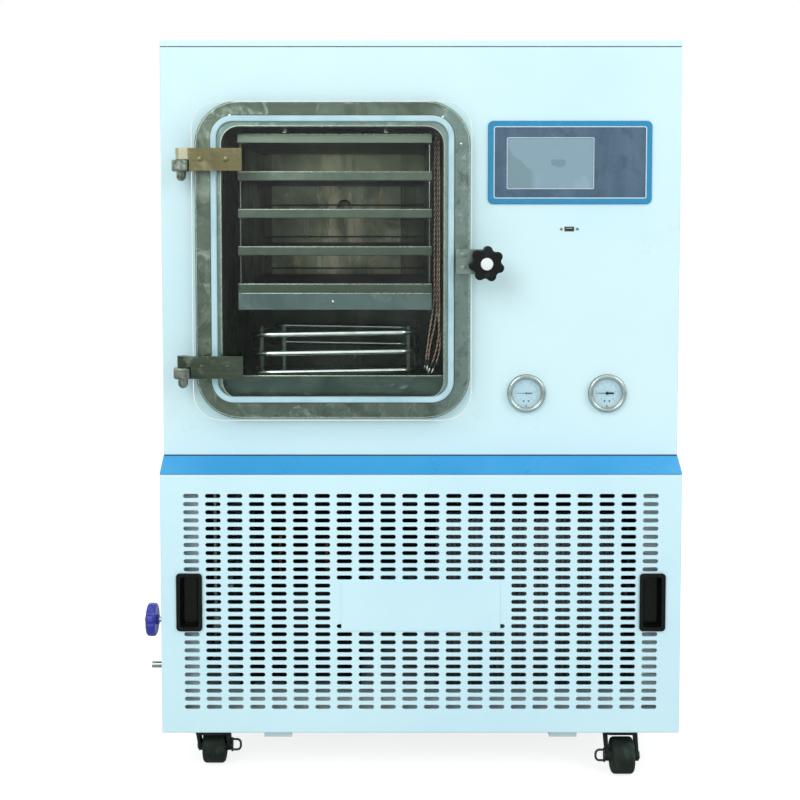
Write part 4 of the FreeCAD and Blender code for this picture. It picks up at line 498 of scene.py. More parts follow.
PAINTED = {  # the sheets that are painted outside, and the way their dark insides face
    "left_side_panel": (1, 0, 0), "right_side_panel": (-1, 0, 0), "top_cover": (0, 0, -1),
    "front_fascia": (0, 1, 0), "rear_panel": (0, -1, 0), "grille_panel": (0, 1, 0),
}
PLATE_FINISHES = ("hinge_steel", "hinge_steel_low", "latch_steel")
DIAL_RADIUS = 26.5


def dress(node, *names):
    """Gives a solid its finishes; the first covers it all."""
    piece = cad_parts[node]
    piece.data.materials.clear()
    for name in names:
        piece.data.materials.append(finishes[name])
    for face in piece.data.polygons:
        face.material_index = 0
    return piece


def other_finish(piece, wanted, index=1):
    """The faces that wanted(centre, normal) picks take the second finish, or a later one."""
    for face in piece.data.polygons:
        if wanted(face.center, face.normal):
            face.material_index = index


def plate_of(height):
    """0 for the upper hinge, 1 for the lower one, 2 for the latch plate between them."""
    return 0 if height > 1 else 1 if height < 0.8 else 2


def dress_all():
    for finish, nodes in PLAIN.items():
        for node in nodes.split():
            dress(node, finish)
    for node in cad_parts:
        for start, finish in CASTER_FINISHES.items():
            if node.startswith(start):
                dress(node, finish)
    for node, inward in PAINTED.items():
        outside = "lower_paint" if node == "grille_panel" else "white_paint"
        other_finish(dress(node, outside, "inside_paint"),
                     lambda centre, normal: normal.dot(Vector(inward)) > 0.7)
    dress_chamber()
    dress_door()
    for i in (1, 2):
        dress_gauge(f"gauge_{i}")


def dress_chamber():
    """The vessel has a stained rear wall with painted light and shade and a duller sill; dull
    strips hold a bright coil.
    """
    piece = dress("chamber_shell", "chamber_steel", "sill_steel", "back_steel")
    low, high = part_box("chamber_shell")
    other_finish(piece, lambda centre, normal: centre.y < low.y + 6 * MM
                 and centre.z < low.z + 45 * MM)
    other_finish(piece, lambda centre, normal: normal.y < -0.9 and centre.y > high.y - 8 * MM, 2)
    strips = [spot(x, 0, 0).x for x in (-283, -243, -21)]
    other_finish(dress("cold_trap_coil", "coil_steel", "rack_steel"),
                 lambda centre, normal: max(abs(n) for n in normal) > 0.999
                 and min(abs(centre.x - x) for x in strips) < 7 * MM)


def dress_door():
    """The door is clear with a frosty rim; its upper hinge plate, lower hinge plate and latch
    plate, with their screws, take three different finishes.
    """
    screws = dress("door_screws", *PLATE_FINISHES)
    for face in screws.data.polygons:
        face.material_index = plate_of(face.center.z)
    half_way = middle("hinge_plates").z
    other_finish(dress("hinge_plates", *PLATE_FINISHES[:2]),
                 lambda centre, normal: centre.z < half_way)
    rim = Vector((1, 0, 1)) * 8 * MM
    low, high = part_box("door_plate")
    low, high = low + rim, high - rim
    other_finish(dress("door_plate", "clear_door", "door_edge"),
                 lambda centre, normal: abs(normal.y) < 0.2
                 and not (low.x < centre.x < high.x and low.z < centre.z < high.z))


def dress_gauge(node):
    """The dial in the bottom of a gauge's case is white."""
    centre = middle(node)
    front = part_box(node)[0].y
    other_finish(dress(node, "gauge_steel", "gauge_dial"),
                 lambda place, normal: normal.y < -0.9 and place.y > front + 3 * MM
                 and math.hypot(place.x - centre.x, place.z - centre.z) < DIAL_RADIUS * MM)


dress_all()


# ======== ways of making
TURNS = {  # how a piece modelled upwards is turned to face each way
    UP: (0, 0, 0), DOWN: (math.pi, 0, 0), FRONT: (math.pi / 2, 0, 0), BACK: (-math.pi / 2, 0, 0),
    LEFT: (0, -math.pi / 2, 0), RIGHT: (0, math.pi / 2, 0),
}


def deselect():
    if bpy.context.object and bpy.context.object.mode != "OBJECT":
        bpy.ops.object.mode_set(mode="OBJECT")
    bpy.ops.object.select_all(action="DESELECT")


def pick(piece):
    deselect()
    piece.select_set(True)
    bpy.context.view_layer.objects.active = piece


def fix(piece, place=HERE, turn=(0, 0, 0)):
    """Turns a piece, puts it in its place, in metres, and applies that to its mesh."""
    pick(piece)
    piece.rotation_euler = turn
    piece.location = place
    bpy.ops.object.transform_apply(location=True, rotation=True, scale=True)
    return piece


def moved(piece, place, turn=(0, 0, 0)):
    return fix(piece, [value * MM for value in place], turn)


def settle(piece, name, finish, place=HERE, facing=UP, body="cabinet", smooth=30):
    """Turns a piece modelled at the origin, applies its place and hands it to its body."""
    fix(piece, place, TURNS[facing])
    if smooth:
        bpy.ops.object.shade_smooth_by_angle(angle=math.radians(smooth))
    piece.name = name
    piece.data.name = name
    piece.data.materials.clear()
    piece.data.materials.append(finishes[finish])
    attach(piece, body)
    return piece


def edit():
    """Opens the active piece for editing, with all of it selected."""
    bpy.ops.object.mode_set(mode="EDIT")
    bpy.ops.mesh.select_all(action="SELECT")


def whole(piece):
    """Ends editing with every face pointing outwards."""
    bpy.ops.mesh.select_all(action="SELECT")
    bpy.ops.mesh.normals_make_consistent(inside=False)
    bpy.ops.object.mode_set(mode="OBJECT")
    return piece


def drawn_up(height):
    """Draws what is selected upwards, in metres."""
    bpy.ops.mesh.extrude_region_move(TRANSFORM_OT_translate={"value": (0, 0, height)})


def turned(steps, sides=40):
    """A lathe-like form: a disc drawn up through (radius, height) steps, closed at both ends."""
    radius, height = steps[0]
    deselect()
    bpy.ops.mesh.primitive_circle_add(vertices=sides, radius=radius * MM, fill_type="NGON")
    piece = fix(bpy.context.object, (0, 0, height * MM))
    edit()
    for next_radius, next_height in steps[1:]:
        drawn_up((next_height - height) * MM)
        bpy.ops.transform.resize(value=(next_radius / radius, next_radius / radius, 1),
                                 center_override=(0, 0, next_height * MM))
        radius, height = next_radius, next_height
    return whole(piece)


def block(size, bevel=0.6, segments=3):
    """A block with rounded edges, centred on the origin."""
    deselect()
    bpy.ops.mesh.primitive_cube_add(size=1, scale=[s * MM for s in size])
    piece = fix(bpy.context.object)
    edit()
    bpy.ops.mesh.bevel(offset=bevel * MM, segments=segments, affect="EDGES")
    bpy.ops.object.mode_set(mode="OBJECT")
    return piece


def copies(piece, places, facing=UP):
    """The piece, modelled upwards at the origin, turned and repeated at each spot as one mesh."""
    places = [spot(*place) for place in places]
    fix(piece, HERE, TURNS[facing])
    fix(piece, places[0])
    edit()
    for before, after in zip(places, places[1:]):
        bpy.ops.mesh.duplicate_move(TRANSFORM_OT_translate={"value": after - before})
    bpy.ops.object.mode_set(mode="OBJECT")
    return piece


def choose(piece, kind, wanted):
    """Selects the vertices, edges or faces that wanted() picks, and opens the piece for editing."""
    bpy.ops.object.mode_set(mode="OBJECT")
    kinds = ("VERT", "EDGE", "FACE")
    bpy.context.tool_settings.mesh_select_mode = [kind == each for each in kinds]
    mesh = piece.data
    groups = (mesh.vertices, mesh.edges, mesh.polygons)
    for group in groups:
        for part in group:
            part.select = False
    for part in groups[kinds.index(kind)]:
        if kind == "FACE":
            part.select = wanted(part.center, part.normal)
        elif kind == "EDGE":
            part.select = wanted(*(mesh.vertices[i].co for i in part.vertices))
        else:
            part.select = wanted(part.co)
    bpy.ops.object.mode_set(mode="EDIT")


def rounded_face(width, height, corner, steps):
    """A round-cornered face lying flat, open for editing."""
    deselect()
    bpy.ops.mesh.primitive_plane_add(size=1)
    piece = bpy.context.object
    piece.scale = (width * MM, height * MM, 1)
    fix(piece)
    edit()
    bpy.ops.mesh.bevel(offset=corner * MM, segments=steps, affect="VERTICES")
    bpy.ops.mesh.select_all(action="SELECT")
    return piece


def thickened(piece, thick):
    """What is left of a flat face, drawn up to its thickness."""
    bpy.ops.mesh.select_all(action="SELECT")
    drawn_up(thick * MM)
    return whole(piece)


def rounded_plate(width, height, corner, thick, steps=5):
    """A round-cornered plate lying flat."""
    return thickened(rounded_face(width, height, corner, steps), thick)


def frame_ring(width, height, corner, band, thick):
    """A round-cornered frame lying flat, open in the middle."""
    piece = rounded_face(width, height, corner, 6)
    bpy.ops.mesh.inset(thickness=band * MM)
    bpy.ops.mesh.delete(type="FACE")
    return thickened(piece, thick)


def front_ring(name, finish, sizes, place, body="cabinet", smooth=30):
    """A flat frame that faces forwards, settled at a spot."""
    return settle(frame_ring(*sizes), name, finish, spot(*place), FRONT, body, smooth)


def rolled_ring(radius, section, flatten=1, sides=64):
    """A ring of round wire or rolled edge, lying flat."""
    deselect()
    bpy.ops.mesh.primitive_torus_add(major_radius=radius * MM, minor_radius=section * MM,
                                     major_segments=sides, minor_segments=10)
    piece = bpy.context.object
    edit()
    bpy.ops.transform.resize(value=(1, 1, flatten), center_override=(0, 0, 0))
    return whole(piece)


def modified(piece, kind, **settings):
    """Applies one modifier."""
    pick(piece)
    assign(piece.modifiers.new("shaping", kind), **settings)
    bpy.ops.object.modifier_apply(modifier="shaping")
    return piece


def carve(piece, cutter):
    """Cuts one closed form out of another."""
    modified(piece, "BOOLEAN", operation="DIFFERENCE", solver="EXACT", object=cutter)
    bpy.data.objects.remove(cutter)
    return piece


def bevelled(piece, width):
    return modified(piece, "BEVEL", width=width * MM, segments=2, limit_method="ANGLE")


def pan_head(radius, height):
    """A domed screw head with a cross recess."""
    head = turned([(radius, 0), (radius, height * 0.45), (radius * 0.86, height * 0.8),
                   (radius * 0.5, height)], 20)
    for size in ((radius * 1.1, radius * 0.26, height), (radius * 0.26, radius * 1.1, height)):
        cutter = block(size, 0.05, 1)
        cutter.location = (0, 0, height * MM)
        head = carve(head, cutter)
    return head


def screws(name, radius, height, places, facing=UP):
    """Screw heads that look one way from a sheet."""
    settle(copies(pan_head(radius, height), places, facing), name, "screw_steel")


def bars(name, finish, size, bevel, places, smooth=30, segments=2):
    """Blocks at each spot, as one piece."""
    settle(copies(block(size, bevel, segments), places), name, finish, smooth=smooth)


def joined(pieces):
    deselect()
    for piece in pieces:
        piece.select_set(True)
    bpy.context.view_layer.objects.active = pieces[0]
    if len(pieces) > 1:
        bpy.ops.object.join()
    return bpy.context.object


# ======== probe leads
LEAD_TOP = 1117             # where the leads come out of the cable gland
LEADS = (
    ((26, 59, 1090), (25, 55, 1040), (26.5, 53, 985), (24.6, 51, 930), (25.6, 52, 875),
     (24.4, 50, 822), (17.5, 49, 782), (12.5, 47, 745), (9, 48, 716)),
    ((30, 65, 1088), (31, 61, 1036), (29.6, 59, 980), (31.2, 58, 926), (30.2, 56, 872),
     (30.6, 55, 820), (25.5, 50, 782), (16.5, 47.5, 748), (13.2, 43, 716)),
    ((33.2, 58.5, 1086), (34.2, 53, 1034), (33.4, 50, 980), (34.4, 49, 924), (33.6, 47, 868),
     (34.4, 46, 812), (33, 44, 764), (26, 42.5, 732), (18, 40, 712)),
    ((26, 66, 1092), (26.8, 64.5, 1044), (25.2, 63, 992), (26.4, 61, 938), (25.2, 60.5, 884),
     (27.4, 60, 832), (33, 53, 796), (36, 47, 762), (33, 38.5, 730), (24.5, 36, 712)),
)
STRAND_R = 0.78
STRAND_OFFSET = STRAND_R * 0.92 * MM
TWIST = 9                   # length of one full turn of a twisted pair
TIP = [(2, -1.5), (2.4, -0.6), (2.4, 10.2), (2, 11.4), (1, 12)]
SLEEVE = [(1.6, -9), (2.1, -8), (2.7, -1.4), (2.7, 1.6), (2.2, 2.2)]


def curve(name, places, kind):
    """A curve through places in metres."""
    data = assign(bpy.data.curves.new(name, "CURVE"), dimensions="3D")
    line = data.splines.new(kind)
    line.points.add(len(places) - 1)
    for point, place in zip(line.points, places):
        point.co = (*place, 1)
    return added(name, data)


def lead_line(route):
    """The smooth line of one lead, as closely spaced points."""
    start_x, start_y, _ = route[0]
    holder = curve("lead", [spot(start_x, start_y, LEAD_TOP)] + [spot(*p) for p in route], "NURBS")
    holder.data.resolution_u = 24
    assign(holder.data.splines[0], order_u=3, use_endpoint_u=True)
    mesh = bpy.data.meshes.new_from_object(holder)
    points = [vertex.co.copy() for vertex in mesh.vertices]
    bpy.data.objects.remove(holder)
    return points


def even(points, step):
    """The same line with its points an even step apart."""
    kept = [points[0]]
    carried = 0
    for first, second in zip(points, points[1:]):
        span = (second - first).length
        while carried + span >= step:
            first = first + (second - first) * ((step - carried) / span)
            kept.append(first)
            span = (second - first).length
            carried = 0
        carried += span
    return kept


def strand(points, phase):
    """One wire of a twisted pair, as a line winding round the lead's own line."""
    step = (points[1] - points[0]).length
    side = Vector((1, 0, 0))
    wound = []
    for i, point in enumerate(points):
        ahead = (points[min(i + 1, len(points) - 1)] - points[max(i - 1, 0)]).normalized()
        side = (side - ahead * side.dot(ahead)).normalized()
        other = ahead.cross(side)
        angle = phase + 2 * math.pi * i * step / (TWIST * MM)
        wound.append(point + (side * math.cos(angle) + other * math.sin(angle)) * STRAND_OFFSET)
    return wound


def wire(points, radius):
    """A wire of round section along a line, as a mesh."""
    piece = curve("wire", points, "POLY")
    assign(piece.data, bevel_depth=radius, bevel_resolution=1, use_fill_caps=True)
    pick(piece)
    bpy.ops.object.convert(target="MESH")
    return bpy.context.object


def probe_leads():
    """Four twisted pairs, brown and white, each ending in a metal probe tip."""
    brown, white, tips, sleeves = [], [], [], []
    for route in LEADS:
        line = even(lead_line(route), TWIST * MM / 8)
        for phase, group in ((0, brown), (math.pi, white)):
            group.append(wire(strand(line, phase), STRAND_R * MM))
        turn = (line[-1] - line[-6]).normalized().to_track_quat("Z", "Y").to_euler()
        for steps, group in ((TIP, tips), (SLEEVE, sleeves)):
            group.append(fix(turned(steps, 16), line[-1], turn))
    wires = settle(joined(brown), "probe_leads_brown", "brown_wire", smooth=60)
    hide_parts("probe_cables")
    settle(joined(white), "probe_leads_white", "white_wire", smooth=60)
    settle(joined(tips), "probe_tips", "probe_steel", smooth=35)
    settle(joined(sleeves), "probe_sleeves", "black_rubber", smooth=35)
    gland = turned([(10.5, -4), (10.5, -1), (9.4, 0.4), (7.2, 0.8), (6.6, 3), (5.2, 3.6)], 6)
    collar = turned([(8, 0), (8, 2.6), (7.2, 3.4)], 32)
    settle(joined([gland, collar]), "gland_nut", "polished_steel", spot(29, 62, LEAD_TOP + 2), DOWN,
           smooth=35)


# ======== inside the chamber
def port_strainer():
    """The low cap over the vacuum port in the rear wall."""
    cap = turned([(15.4, 0), (15.4, 0.7), (14.8, 1.1), (6, 1.5), (1.5, 1.5)], 40)
    settle(cap, "port_strainer", "back_steel", spot(VESSEL_X, 499.8, PORT_Z), FRONT, smooth=35)


def lip_highlights():
    """Bright bars along the top edge of each shelf's lip and the tray's, and along the sill: the
    folded hem there, with a painted highlight.
    """
    places = [(SHELVES_X, 36, 1123.6 - i * SHELF_STEP) for i in range(5)]
    places.append((SHELVES_X, 36, 1123.2 - 4 * SHELF_STEP - 15.9))
    bars("lip_highlights", "hem_steel", (341.5, 2.8, 2.1), 0.9, places, 40, 3)
    bars("sill_highlight", "hem_steel", (380, 4.2, 2), 0.8, [(VESSEL_X, 3.5, 701.6)], 40)


def rack_edges():
    """The turned-in front edges of the rack's side plates, as thin bright posts with a painted
    highlight.
    """
    bars("rack_edge_highlights", "hem_steel", (2.4, 5, 296), 0.9,
         [(x, 43.5, 966) for x in (-317.5, 16.5)], 40)


def hanger_nuts():
    """Domed nuts where the rack hangs from the roof."""
    nut = turned([(5.4, 0), (5.4, 5.2)], 6)
    washer = turned([(6.4, -1.2), (6.4, 0), (4, 0.3)], 28)
    dome = turned([(4.6, 0), (4.4, 1.4), (3.3, 3.2), (1.6, 4.2), (0.3, 4.4)], 28)
    stack = joined([nut, washer, moved(dome, (0, 0, -5.2), TURNS[DOWN])])
    settle(copies(stack, [(x, 69, 1129) for x in (-242, -60)]), "hanger_nuts", "coil_steel")


# ======== door hardware
def screw_sockets():
    """Socket heads in the hinge and latch screws, with their drive holes."""
    places = [(x, -51.05, z) for z in (1076, 722) for x in (-374, -330)]
    places += [(72, -51.05, z) for z in (892, 914)]
    for i, name in enumerate(("upper_hinge", "lower_hinge", "latch")):
        disc = turned([(4.7, -0.35), (4.7, 0), (4.4, 0.1)], 28)
        disc = carve(disc, turned([(1.5, -3), (1.5, 3)], 6))
        heads = copies(disc, [place for place in places if plate_of(place[2] * MM) == i], FRONT)
        settle(heads, f"{name}_screw_heads", PLATE_FINISHES[i], body="door")


def flange_parts():
    """Painted highlights on the arrises of the ring and door, painted shadow lines at the edges of
    the ring's groove, three locating pins and a screw.
    """
    front_ring("flange_lip_highlight", "hem_steel", (386, 472, 32, 1.7, 0.5), (VESSEL_X, -17.9, 899.5))
    front_ring("groove_shadow_line", "dark_steel", (421.5, 497.5, 39.7, 1.5, 0.35),
               (VESSEL_X, -17.9, 905))
    front_ring("groove_inner_shadow_line", "dark_steel", (398.5, 474.5, 29, 1, 0.35),
               (VESSEL_X, -17.9, 905))
    front_ring("flange_edge_highlight", "hem_steel", (471.5, 545.5, 74.8, 1.5, 0.35),
               (VESSEL_X, -17.9, 903.5))
    front_ring("door_arris_highlight", "rim_white", (477, 545, 47.5, 1.5, 0.4), (VESSEL_X, -44.9, 902.5),
               "door")
    pins = copies(turned([(2.6, 0), (2.6, 0.8), (2, 1.6), (0.8, 2)], 20),
                  [(x, -17.9, z) for x, z in ((-328, 1152.5), (37, 1149.5), (69, 1104))], FRONT)
    settle(pins, "flange_pins", "coil_steel", smooth=40)
    settle(pan_head(2.4, 1.4), "tray_screw", "coil_steel", spot(-154, 34.9, 829.7), FRONT)


def shelf_stop_shadows():
    """A bar along the back of each shelf, which product trays are pushed against; its dark colour
    is painted shadow at the top of the rear lip.
    """
    bars("shelf_stop_shadows", "dark_steel", (334, 4, 3.2), 0.8,
         [(SHELVES_X, 470, 1135.2 - i * SHELF_STEP) for i in range(1, 5)])


def band_seam_shadow():
    """A thin black strip where the upper front meets the blue band, as painted shadow in the seam.
    """
    bars("band_seam_shadow", "black_rubber", (898, 2.2, 1.7), 0.5, [(0, 0.4, 562.2)])


def knob_cap():
    """The pale pressed-in cap at the middle of the knob."""
    cap = turned([(10.4, -0.6), (10.4, 0.5), (9.9, 1.1), (8.4, 1.7), (5.4, 2.2), (1.2, 2.4)], 48)
    settle(cap, "knob_cap", "cap_white", spot(109.5, -84, 899.8), FRONT, "knob", 60)


# ======== gauges
def stroke(length, width):
    """One printed mark, lying flat and pointing along Y."""
    return rounded_plate(width, length, width * 0.3, 0.05, 1)


def spread_round(piece, radius, start, step, count, skip=0):
    """Copies of a flat mark on a circle, pointing at its middle, leaving out every skip-th."""
    place = (radius * MM * math.cos(start), radius * MM * math.sin(start), 0)
    fix(piece, place, (0, 0, start - math.pi / 2))
    edit()
    gap = step
    for i in range(1, count):
        if skip and (i + 1) % skip == 0:
            gap += step
            continue
        bpy.ops.mesh.duplicate()
        bpy.ops.transform.rotate(value=-gap, orient_axis="Z", center_override=(0, 0, 0))
        gap = step
    bpy.ops.object.mode_set(mode="OBJECT")
    return piece


def figure(text, size, place):
    """A plain figure on a dial."""
    deselect()
    bpy.ops.object.text_add(location=(0, 0, 0))
    assign(bpy.context.object.data, body=text, size=size * MM, align_x="CENTER", align_y="CENTER",
           extrude=0.02 * MM, resolution_u=3)
    bpy.ops.object.convert(target="MESH")
    return moved(bpy.context.object, place)


def dial_marks():
    """Two rings of ticks with figures between them, over three quarters of a turn."""
    start, step = math.radians(225), math.radians(-270 / 50)
    outer = spread_round(stroke(1.7, 0.26), 19.6, start + step, step, 49, 5)
    major = spread_round(stroke(3, 0.5), 19.2, start, step * 5, 11)
    inner = spread_round(stroke(1.1, 0.3), 10.4, start, step * 5, 11)
    angles = [start + step * 10 * i for i in range(6)]
    figures = [figure(str(i * 2), 3.2, (14.8 * math.cos(a), 14.8 * math.sin(a), 0.02))
               for i, a in enumerate(angles)]
    return joined([outer, major, inner] + figures)


def dial_spots():
    spots = [moved(turned([(1.5, 0), (1.5, 0.06), (1.3, 0.09)], 24), (x, -13.8, 0))
             for x in (-4.3, 4.1)]
    mark = moved(rounded_plate(1.7, 3.6, 0.5, 0.06), (0, -22.4, 0))
    return joined(spots + [mark])


def pointer(reach):
    """A blade lying flat, pointing left and tapering to its tip."""
    blade = moved(rounded_plate(reach, 1.1, 0.3, 0.3, 2), (-reach / 2, 0, 0))
    choose(blade, "VERT", lambda place: place.x < -reach * 0.8 * MM)
    bpy.ops.transform.resize(value=(1, 0.25, 1), center_override=(-reach * MM, 0, 0))
    return whole(blade)


def pointer_tail(length, width, boss):
    """The broad end of a pointer, its neck and its round boss."""
    return joined([
        moved(rounded_plate(length, width, width * 0.4, 0.5, 3), (length / 2 + 2.4, 0, 0)),
        moved(rounded_plate(4, 0.9, 0.2, 0.4, 1), (1.6, 0, 0)),
        turned([(boss, 0), (boss, 0.7), (boss * 0.7, 1), (boss * 0.3, 1.1)], 28)])


def gauge_parts():
    """Dial prints, a rolled rim, dark rings of painted shadow at the rim's outer and inner edges,
    and a pointer for both gauges.
    """
    tails = ((8, 1.3, 1.3), (9.4, 3, 2.7))
    for i, x in enumerate(GAUGES_X):
        def at(piece, part, finish, y, body="cabinet", smooth=40):
            return settle(piece, f"gauge_{i + 1}_{part}", finish, spot(x, y, GAUGES_Z), FRONT, body,
                          smooth)
        at(dial_marks(), "scale", "scale_print", -3.02, smooth=None)
        at(dial_spots(), "spots", "dark_print", -3.02, smooth=None)
        at(joined([moved(rolled_ring(29.6, 2.9, 0.62), (0, 0, 0.2)),
                   moved(rolled_ring(26.4, 0.9, 0.9), (0, 0, -0.5))]),
           "rim", "gauge_steel", -8, smooth=60)
        # Dark rings at the rim's outer and inner edges, as painted shadow.
        at(joined([rolled_ring(32.7, 0.85), moved(rolled_ring(25.9, 0.75), (0, 0, 1.2))]),
           "shadow_rings", "dark_steel", -5.6, smooth=60)
        needle = f"pointer_{i + 1}"
        blade = at(pointer(20), "blade", ("pale_ink", "ink")[i], -4.2, needle)
        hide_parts(f"gauge_{i + 1}_pointer")
        at(pointer_tail(*tails[i]), "tail", "ink", -4.1, needle)


# ======== controls
def display_parts():
    """The light lines round the control sheet and its screen, and a darker blue line round the
    bezel as painted shadow.
    """
    front_ring("panel_line", "white_line", (264.4, 124.4, 3.6, 1.9, 0.4), (257.9, -3.8, 1072.7),
               smooth=None)
    front_ring("screen_line", "white_line", (151, 89, 2.4, 1.3, 0.35), (224, -2.45, 1071.4),
               smooth=None)
    front_ring("bezel_edge_shadow", "bezel_shade", (283.6, 143.6, 9.2, 0.9, 0.5), (257.9, -0.05, 1072.7),
               smooth=None)


def usb_parts():
    """The socket's shell, tongue and contacts, and its two screws."""
    front_ring("usb_shell", "polished_steel", (13.4, 5.6, 0.9, 0.45, 9), (USB_X, 7.6, USB_Z))
    bars("usb_tongue", "tongue_white", (11, 9, 1.7), 0.25, [(USB_X, 4.6, 958.9)])
    bars("usb_contacts", "contact_metal", (1.1, 7, 0.24), 0.08,
         [(USB_X + x, 4.6, 957.95) for x in (-3.5, -1.2, 1.2, 3.5)], segments=1)
    screws("usb_screws", 2.3, 1, [(USB_X + x, -0.75, USB_Z) for x in (-14, 14)], FRONT)


# ======== cabinet fixings
def panel_screws():
    """Cross-head screws round the side, rear and top sheets."""
    for name, x, facing in (("left", -450, LEFT), ("right", 450, RIGHT)):
        places = [(x, y, z) for z in (130, 330, 520, 610, 830, 1050, 1240) for y in (30, 835)]
        places += [(x, y, z) for z in (130, 1240) for y in (300, 570)]
        screws(f"{name}_screws", 4.6, 2.2, places, facing)
    places = [(x, 857, z) for x in (-430, 430) for z in (110, 330, 560, 790, 1020, 1250)]
    places += [(x, 857, z) for x in (-215, 0, 215) for z in (110, 1250)]
    screws("rear_screws", 4.6, 2.2, places, BACK)
    screws("top_screws", 4.6, 2.2, [(x, y, 1282) for x in (-425, 0, 425) for y in (30, 830)])


def louvre_hood():
    """A pressed hood over one air slot, of thin sheet and open below."""
    deselect()
    bpy.ops.mesh.primitive_cube_add(size=1)
    piece = bpy.context.object
    piece.scale = (51 * MM, 14 * MM, 5.8 * MM)
    fix(piece, (0, 0, 2.9 * MM))
    choose(piece, "FACE", lambda centre, normal: normal.z < -0.9 or normal.y > 0.9)
    bpy.ops.mesh.delete(type="FACE")
    choose(piece, "EDGE", lambda first, second: min(first.z, second.z) > 5 * MM
           and max(first.y, second.y) < 0)
    bpy.ops.mesh.bevel(offset=5 * MM, segments=3, affect="EDGES")
    choose(piece, "EDGE", lambda first, second: min(first.z, second.z) > 0.5 * MM
           and abs(first.x - second.x) < MM * 0.01 and abs(first.x) > 25 * MM)
    bpy.ops.mesh.bevel(offset=1.6 * MM, segments=1, affect="EDGES")
    return modified(piece, "SOLIDIFY", thickness=0.8 * MM, offset=-1)


def louvres():
    """A hood over each of the rear sheet's air slots."""
    places = [((col - 4.5) * 62 - 31, 856.8, 420 - row * 18)
              for col in range(10) for row in range(12)]
    piece = settle(copies(louvre_hood(), places, BACK), "rear_louvres", "white_paint")
    piece.data.materials.append(finishes["inside_paint"])
    other_finish(piece, lambda centre, normal: normal.y < -0.05)


def inlet_parts():
    """The mains inlet: a flanged moulding with a core and three blades."""
    rim = bevelled(frame_ring(48, 32, 3, 7.5, 2.4), 0.5)
    settle(rim, "inlet_rim", "black_plastic", spot(INLET_X, 857.2, INLET_Z), BACK)
    core = rounded_plate(17.5, 12.5, 2.4, 17)
    settle(core, "inlet_core", "black_plastic", spot(INLET_X, 835, INLET_Z), BACK)
    bars("inlet_blades", "contact_metal", (2.2, 15, 4), 0.5, [
        (INLET_X + x, 843, INLET_Z + z) for x, z in ((-11.6, 1), (0, -8.6), (11.6, 1))])
    screws("inlet_screws", 3.2, 1.6, [(INLET_X + x, 859.4, INLET_Z) for x in (-20.4, 20.4)], BACK)


def port_parts():
    """The rubber ring and centring ring in the mouth of the rear flange."""
    for name, finish, radius, section, y in (("port_ring", "black_rubber", 13.6, 1.5, 886),
                                             ("port_bead", "weld_metal", 15, 0.9, 881)):
        ring = rolled_ring(radius, section, sides=48)
        settle(ring, name, finish, spot(VESSEL_X, y, PORT_Z), BACK, smooth=60)


# ======== valve and pull handles
def handwheel_cap():
    """The handwheel's domed centre and its screw."""
    dome = turned([(21.5, -0.4), (21, 0.6), (17.5, 1.6), (12, 2.2), (10.5, 3.4), (7.5, 4.2)], 48)
    settle(dome, "handwheel_dome", "navy_plastic", spot(-511.4, VALVE_Y, VALVE_Z), LEFT,
           "handwheel", 50)
    settle(pan_head(3.8, 2.2), "handwheel_screw", "screw_steel", spot(-515.2, VALVE_Y, VALVE_Z),
           LEFT, "handwheel")


def valve_parts():
    """A panel nut and washer behind the wheel."""
    nut = turned([(13.5, 0), (13.5, 1), (12.4, 1.2), (12.4, 6.4), (11.2, 7.2)], 6)
    settle(nut, "valve_nut", "polished_steel", spot(-451.2, VALVE_Y, VALVE_Z), LEFT)
    washer = turned([(16.5, 0), (16.5, 1.1), (15.9, 1.5)], 40)
    settle(washer, "valve_washer", "polished_steel", spot(-450, VALVE_Y, VALVE_Z), LEFT)


def handle_rims():
    """A raised bead round each pull pocket's mouth."""
    for name, x in (("left", -400.5), ("right", 400.5)):
        bead = bevelled(frame_ring(45, 101.5, 6.5, 1.6, 1), 0.35)
        settle(bead, f"{name}_pull_bead", "handle_plastic", spot(x, -45.2, 313.4), FRONT,
               "front_panel")


# ======== casters
def caster_parts():
    """The ball race between each caster's plate and its fork."""
    for name in CASTER_NAMES:
        end, side = name.split("_")
        place = spot(CASTERS_X[side], CASTERS_Y[end], 0)
        place.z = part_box(f"caster_fork_{name}")[1].z + 0.4 * MM
        race = joined([moved(rolled_ring(20.5, 2.2, 0.8, 48), (0, 0, -1)),
                       turned([(23, -4.4), (23, -2.6), (21.6, -2)])])
        settle(race, f"swivel_race_{name}", "zinc", place, UP, f"swivel_{name}", 40)


def hub_caps():
    """A nut or a domed cap on the outside of each cheek that has no brake, over the axle."""
    for name in CASTER_NAMES:
        wheel = middle(f"caster_wheel_{name}")
        for side, facing, kind, sides in ((-1, LEFT, "nut", 6), (1, RIGHT, "cap", 28)):
            if BRAKED.get(name) == side:
                continue
            cap = turned([(7.4, 0), (7.4, 1.2), (6.4, 2.4), (3, 3)], sides)
            settle(cap, f"axle_{kind}_{name}", "zinc", wheel + Vector((side * 29 * MM, 0, 0)),
                   facing, f"swivel_{name}")


def caster_plate_bolts():
    """Four bolt heads up in the corners of each caster plate, with washer faces."""
    bolt = turned([(5, 0), (5, 0.6), (5.5, 0.7), (5.5, 4.1), (4.8, 5)], 6)
    places = [(x + dx, y + dy, 78.6) for x in CASTERS_X.values() for y in CASTERS_Y.values()
              for dx in (-25, 25) for dy in (-25, 25)]
    settle(copies(bolt, places, DOWN), "caster_bolts", "zinc")


for make in (probe_leads, port_strainer, lip_highlights, rack_edges, hanger_nuts, screw_sockets,
             flange_parts, shelf_stop_shadows, band_seam_shadow, knob_cap, gauge_parts, display_parts, usb_parts,
             panel_screws, louvres, inlet_parts, port_parts, handwheel_cap, valve_parts,
             handle_rims, caster_parts, hub_caps, caster_plate_bolts):
    make()


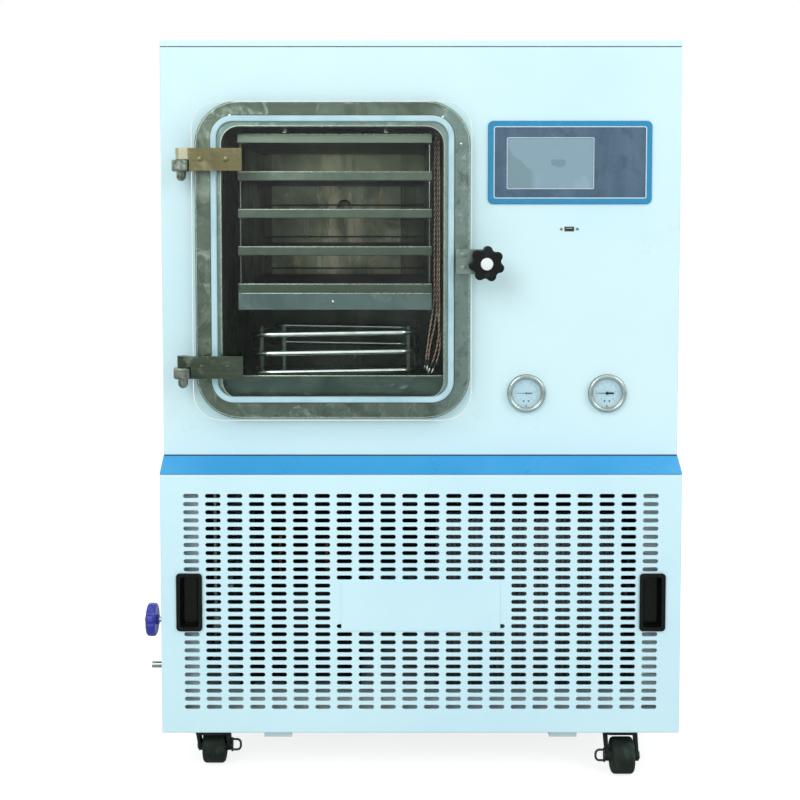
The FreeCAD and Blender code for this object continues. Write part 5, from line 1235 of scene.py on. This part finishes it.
# ======== room
WHITE = (1, 1, 1, 1)
AIM = Vector((0, 0, 0.65))    # where the lamps point
LAMPS = (((-1.6, -3.6, 2.6), 2.2, 49), ((2.6, -2.8, 2.2), 1.8, 28),
         ((0.3, 0.2, 3.6), 2.4, 6), ((0.4, 3.4, 2.2), 2, 24))  # place, size, watts


def cleared(thing):
    """A thing's node tree, with nothing in it."""
    thing.use_nodes = True
    thing.node_tree.nodes.clear()
    return thing.node_tree


def grown(tree, kind, *sources, **values):
    """A node whose first inputs come from the sources."""
    made = fill_in(tree.nodes.new("ShaderNode" + kind), **values)
    for source, socket in zip(sources, made.inputs):
        tree.links.new(source, socket)
    return made


def largest(tree, rays):
    """1 for the kinds of ray named, 0 for all others."""
    path = grown(tree, "LightPath")
    share = path.outputs[f"Is {rays[0]} Ray"]
    for ray in rays[1:]:
        made = grown(tree, "Math", share, path.outputs[f"Is {ray} Ray"])
        made.operation = "MAXIMUM"
        share = made.outputs[0]
    return share


def set_room():
    """A pale floor and an even white studio."""
    bpy.context.scene.view_settings.view_transform = "Standard"
    world = bpy.data.worlds.new("studio")
    bpy.context.scene.world = world
    tree = cleared(world)
    seen = grown(tree, "Background", Color=WHITE, Strength=1)
    fill = grown(tree, "Background", Color=WHITE, Strength=0.68)
    mix = grown(tree, "MixShader", largest(tree, ("Camera", "Glossy", "Transmission")),
                fill.outputs[0], seen.outputs[0])
    grown(tree, "OutputWorld", mix.outputs[0])
    set_floor()
    for place, size, power in LAMPS:
        data = assign(bpy.data.lights.new("softbox", "AREA"), shape="SQUARE", size=size,
                      energy=power)
        lamp = added("softbox", data)
        lamp.location = place
        lamp.rotation_euler = (AIM - Vector(place)).to_track_quat("-Z", "Y").to_euler()


def set_floor():
    """The floor glows almost white where it is seen, and lights the machine as plain grey."""
    deselect()
    bpy.ops.mesh.primitive_circle_add(vertices=96, radius=24, fill_type="NGON")
    floor = bpy.context.object
    floor.name = "floor"
    material = bpy.data.materials.new("floor")
    tree = cleared(material)
    plain = grown(tree, "BsdfDiffuse", Color=(0.7, 0.7, 0.7, 1))
    faint = grown(tree, "BsdfDiffuse", Color=(0.42, 0.42, 0.42, 1))
    glow = grown(tree, "Emission", Color=WHITE, Strength=0.80)
    both = grown(tree, "AddShader", faint.outputs[0], glow.outputs[0])
    mix = grown(tree, "MixShader", largest(tree, ("Camera",)), plain.outputs[0], both.outputs[0])
    grown(tree, "OutputMaterial", mix.outputs[0])
    floor.data.materials.append(material)


set_room()
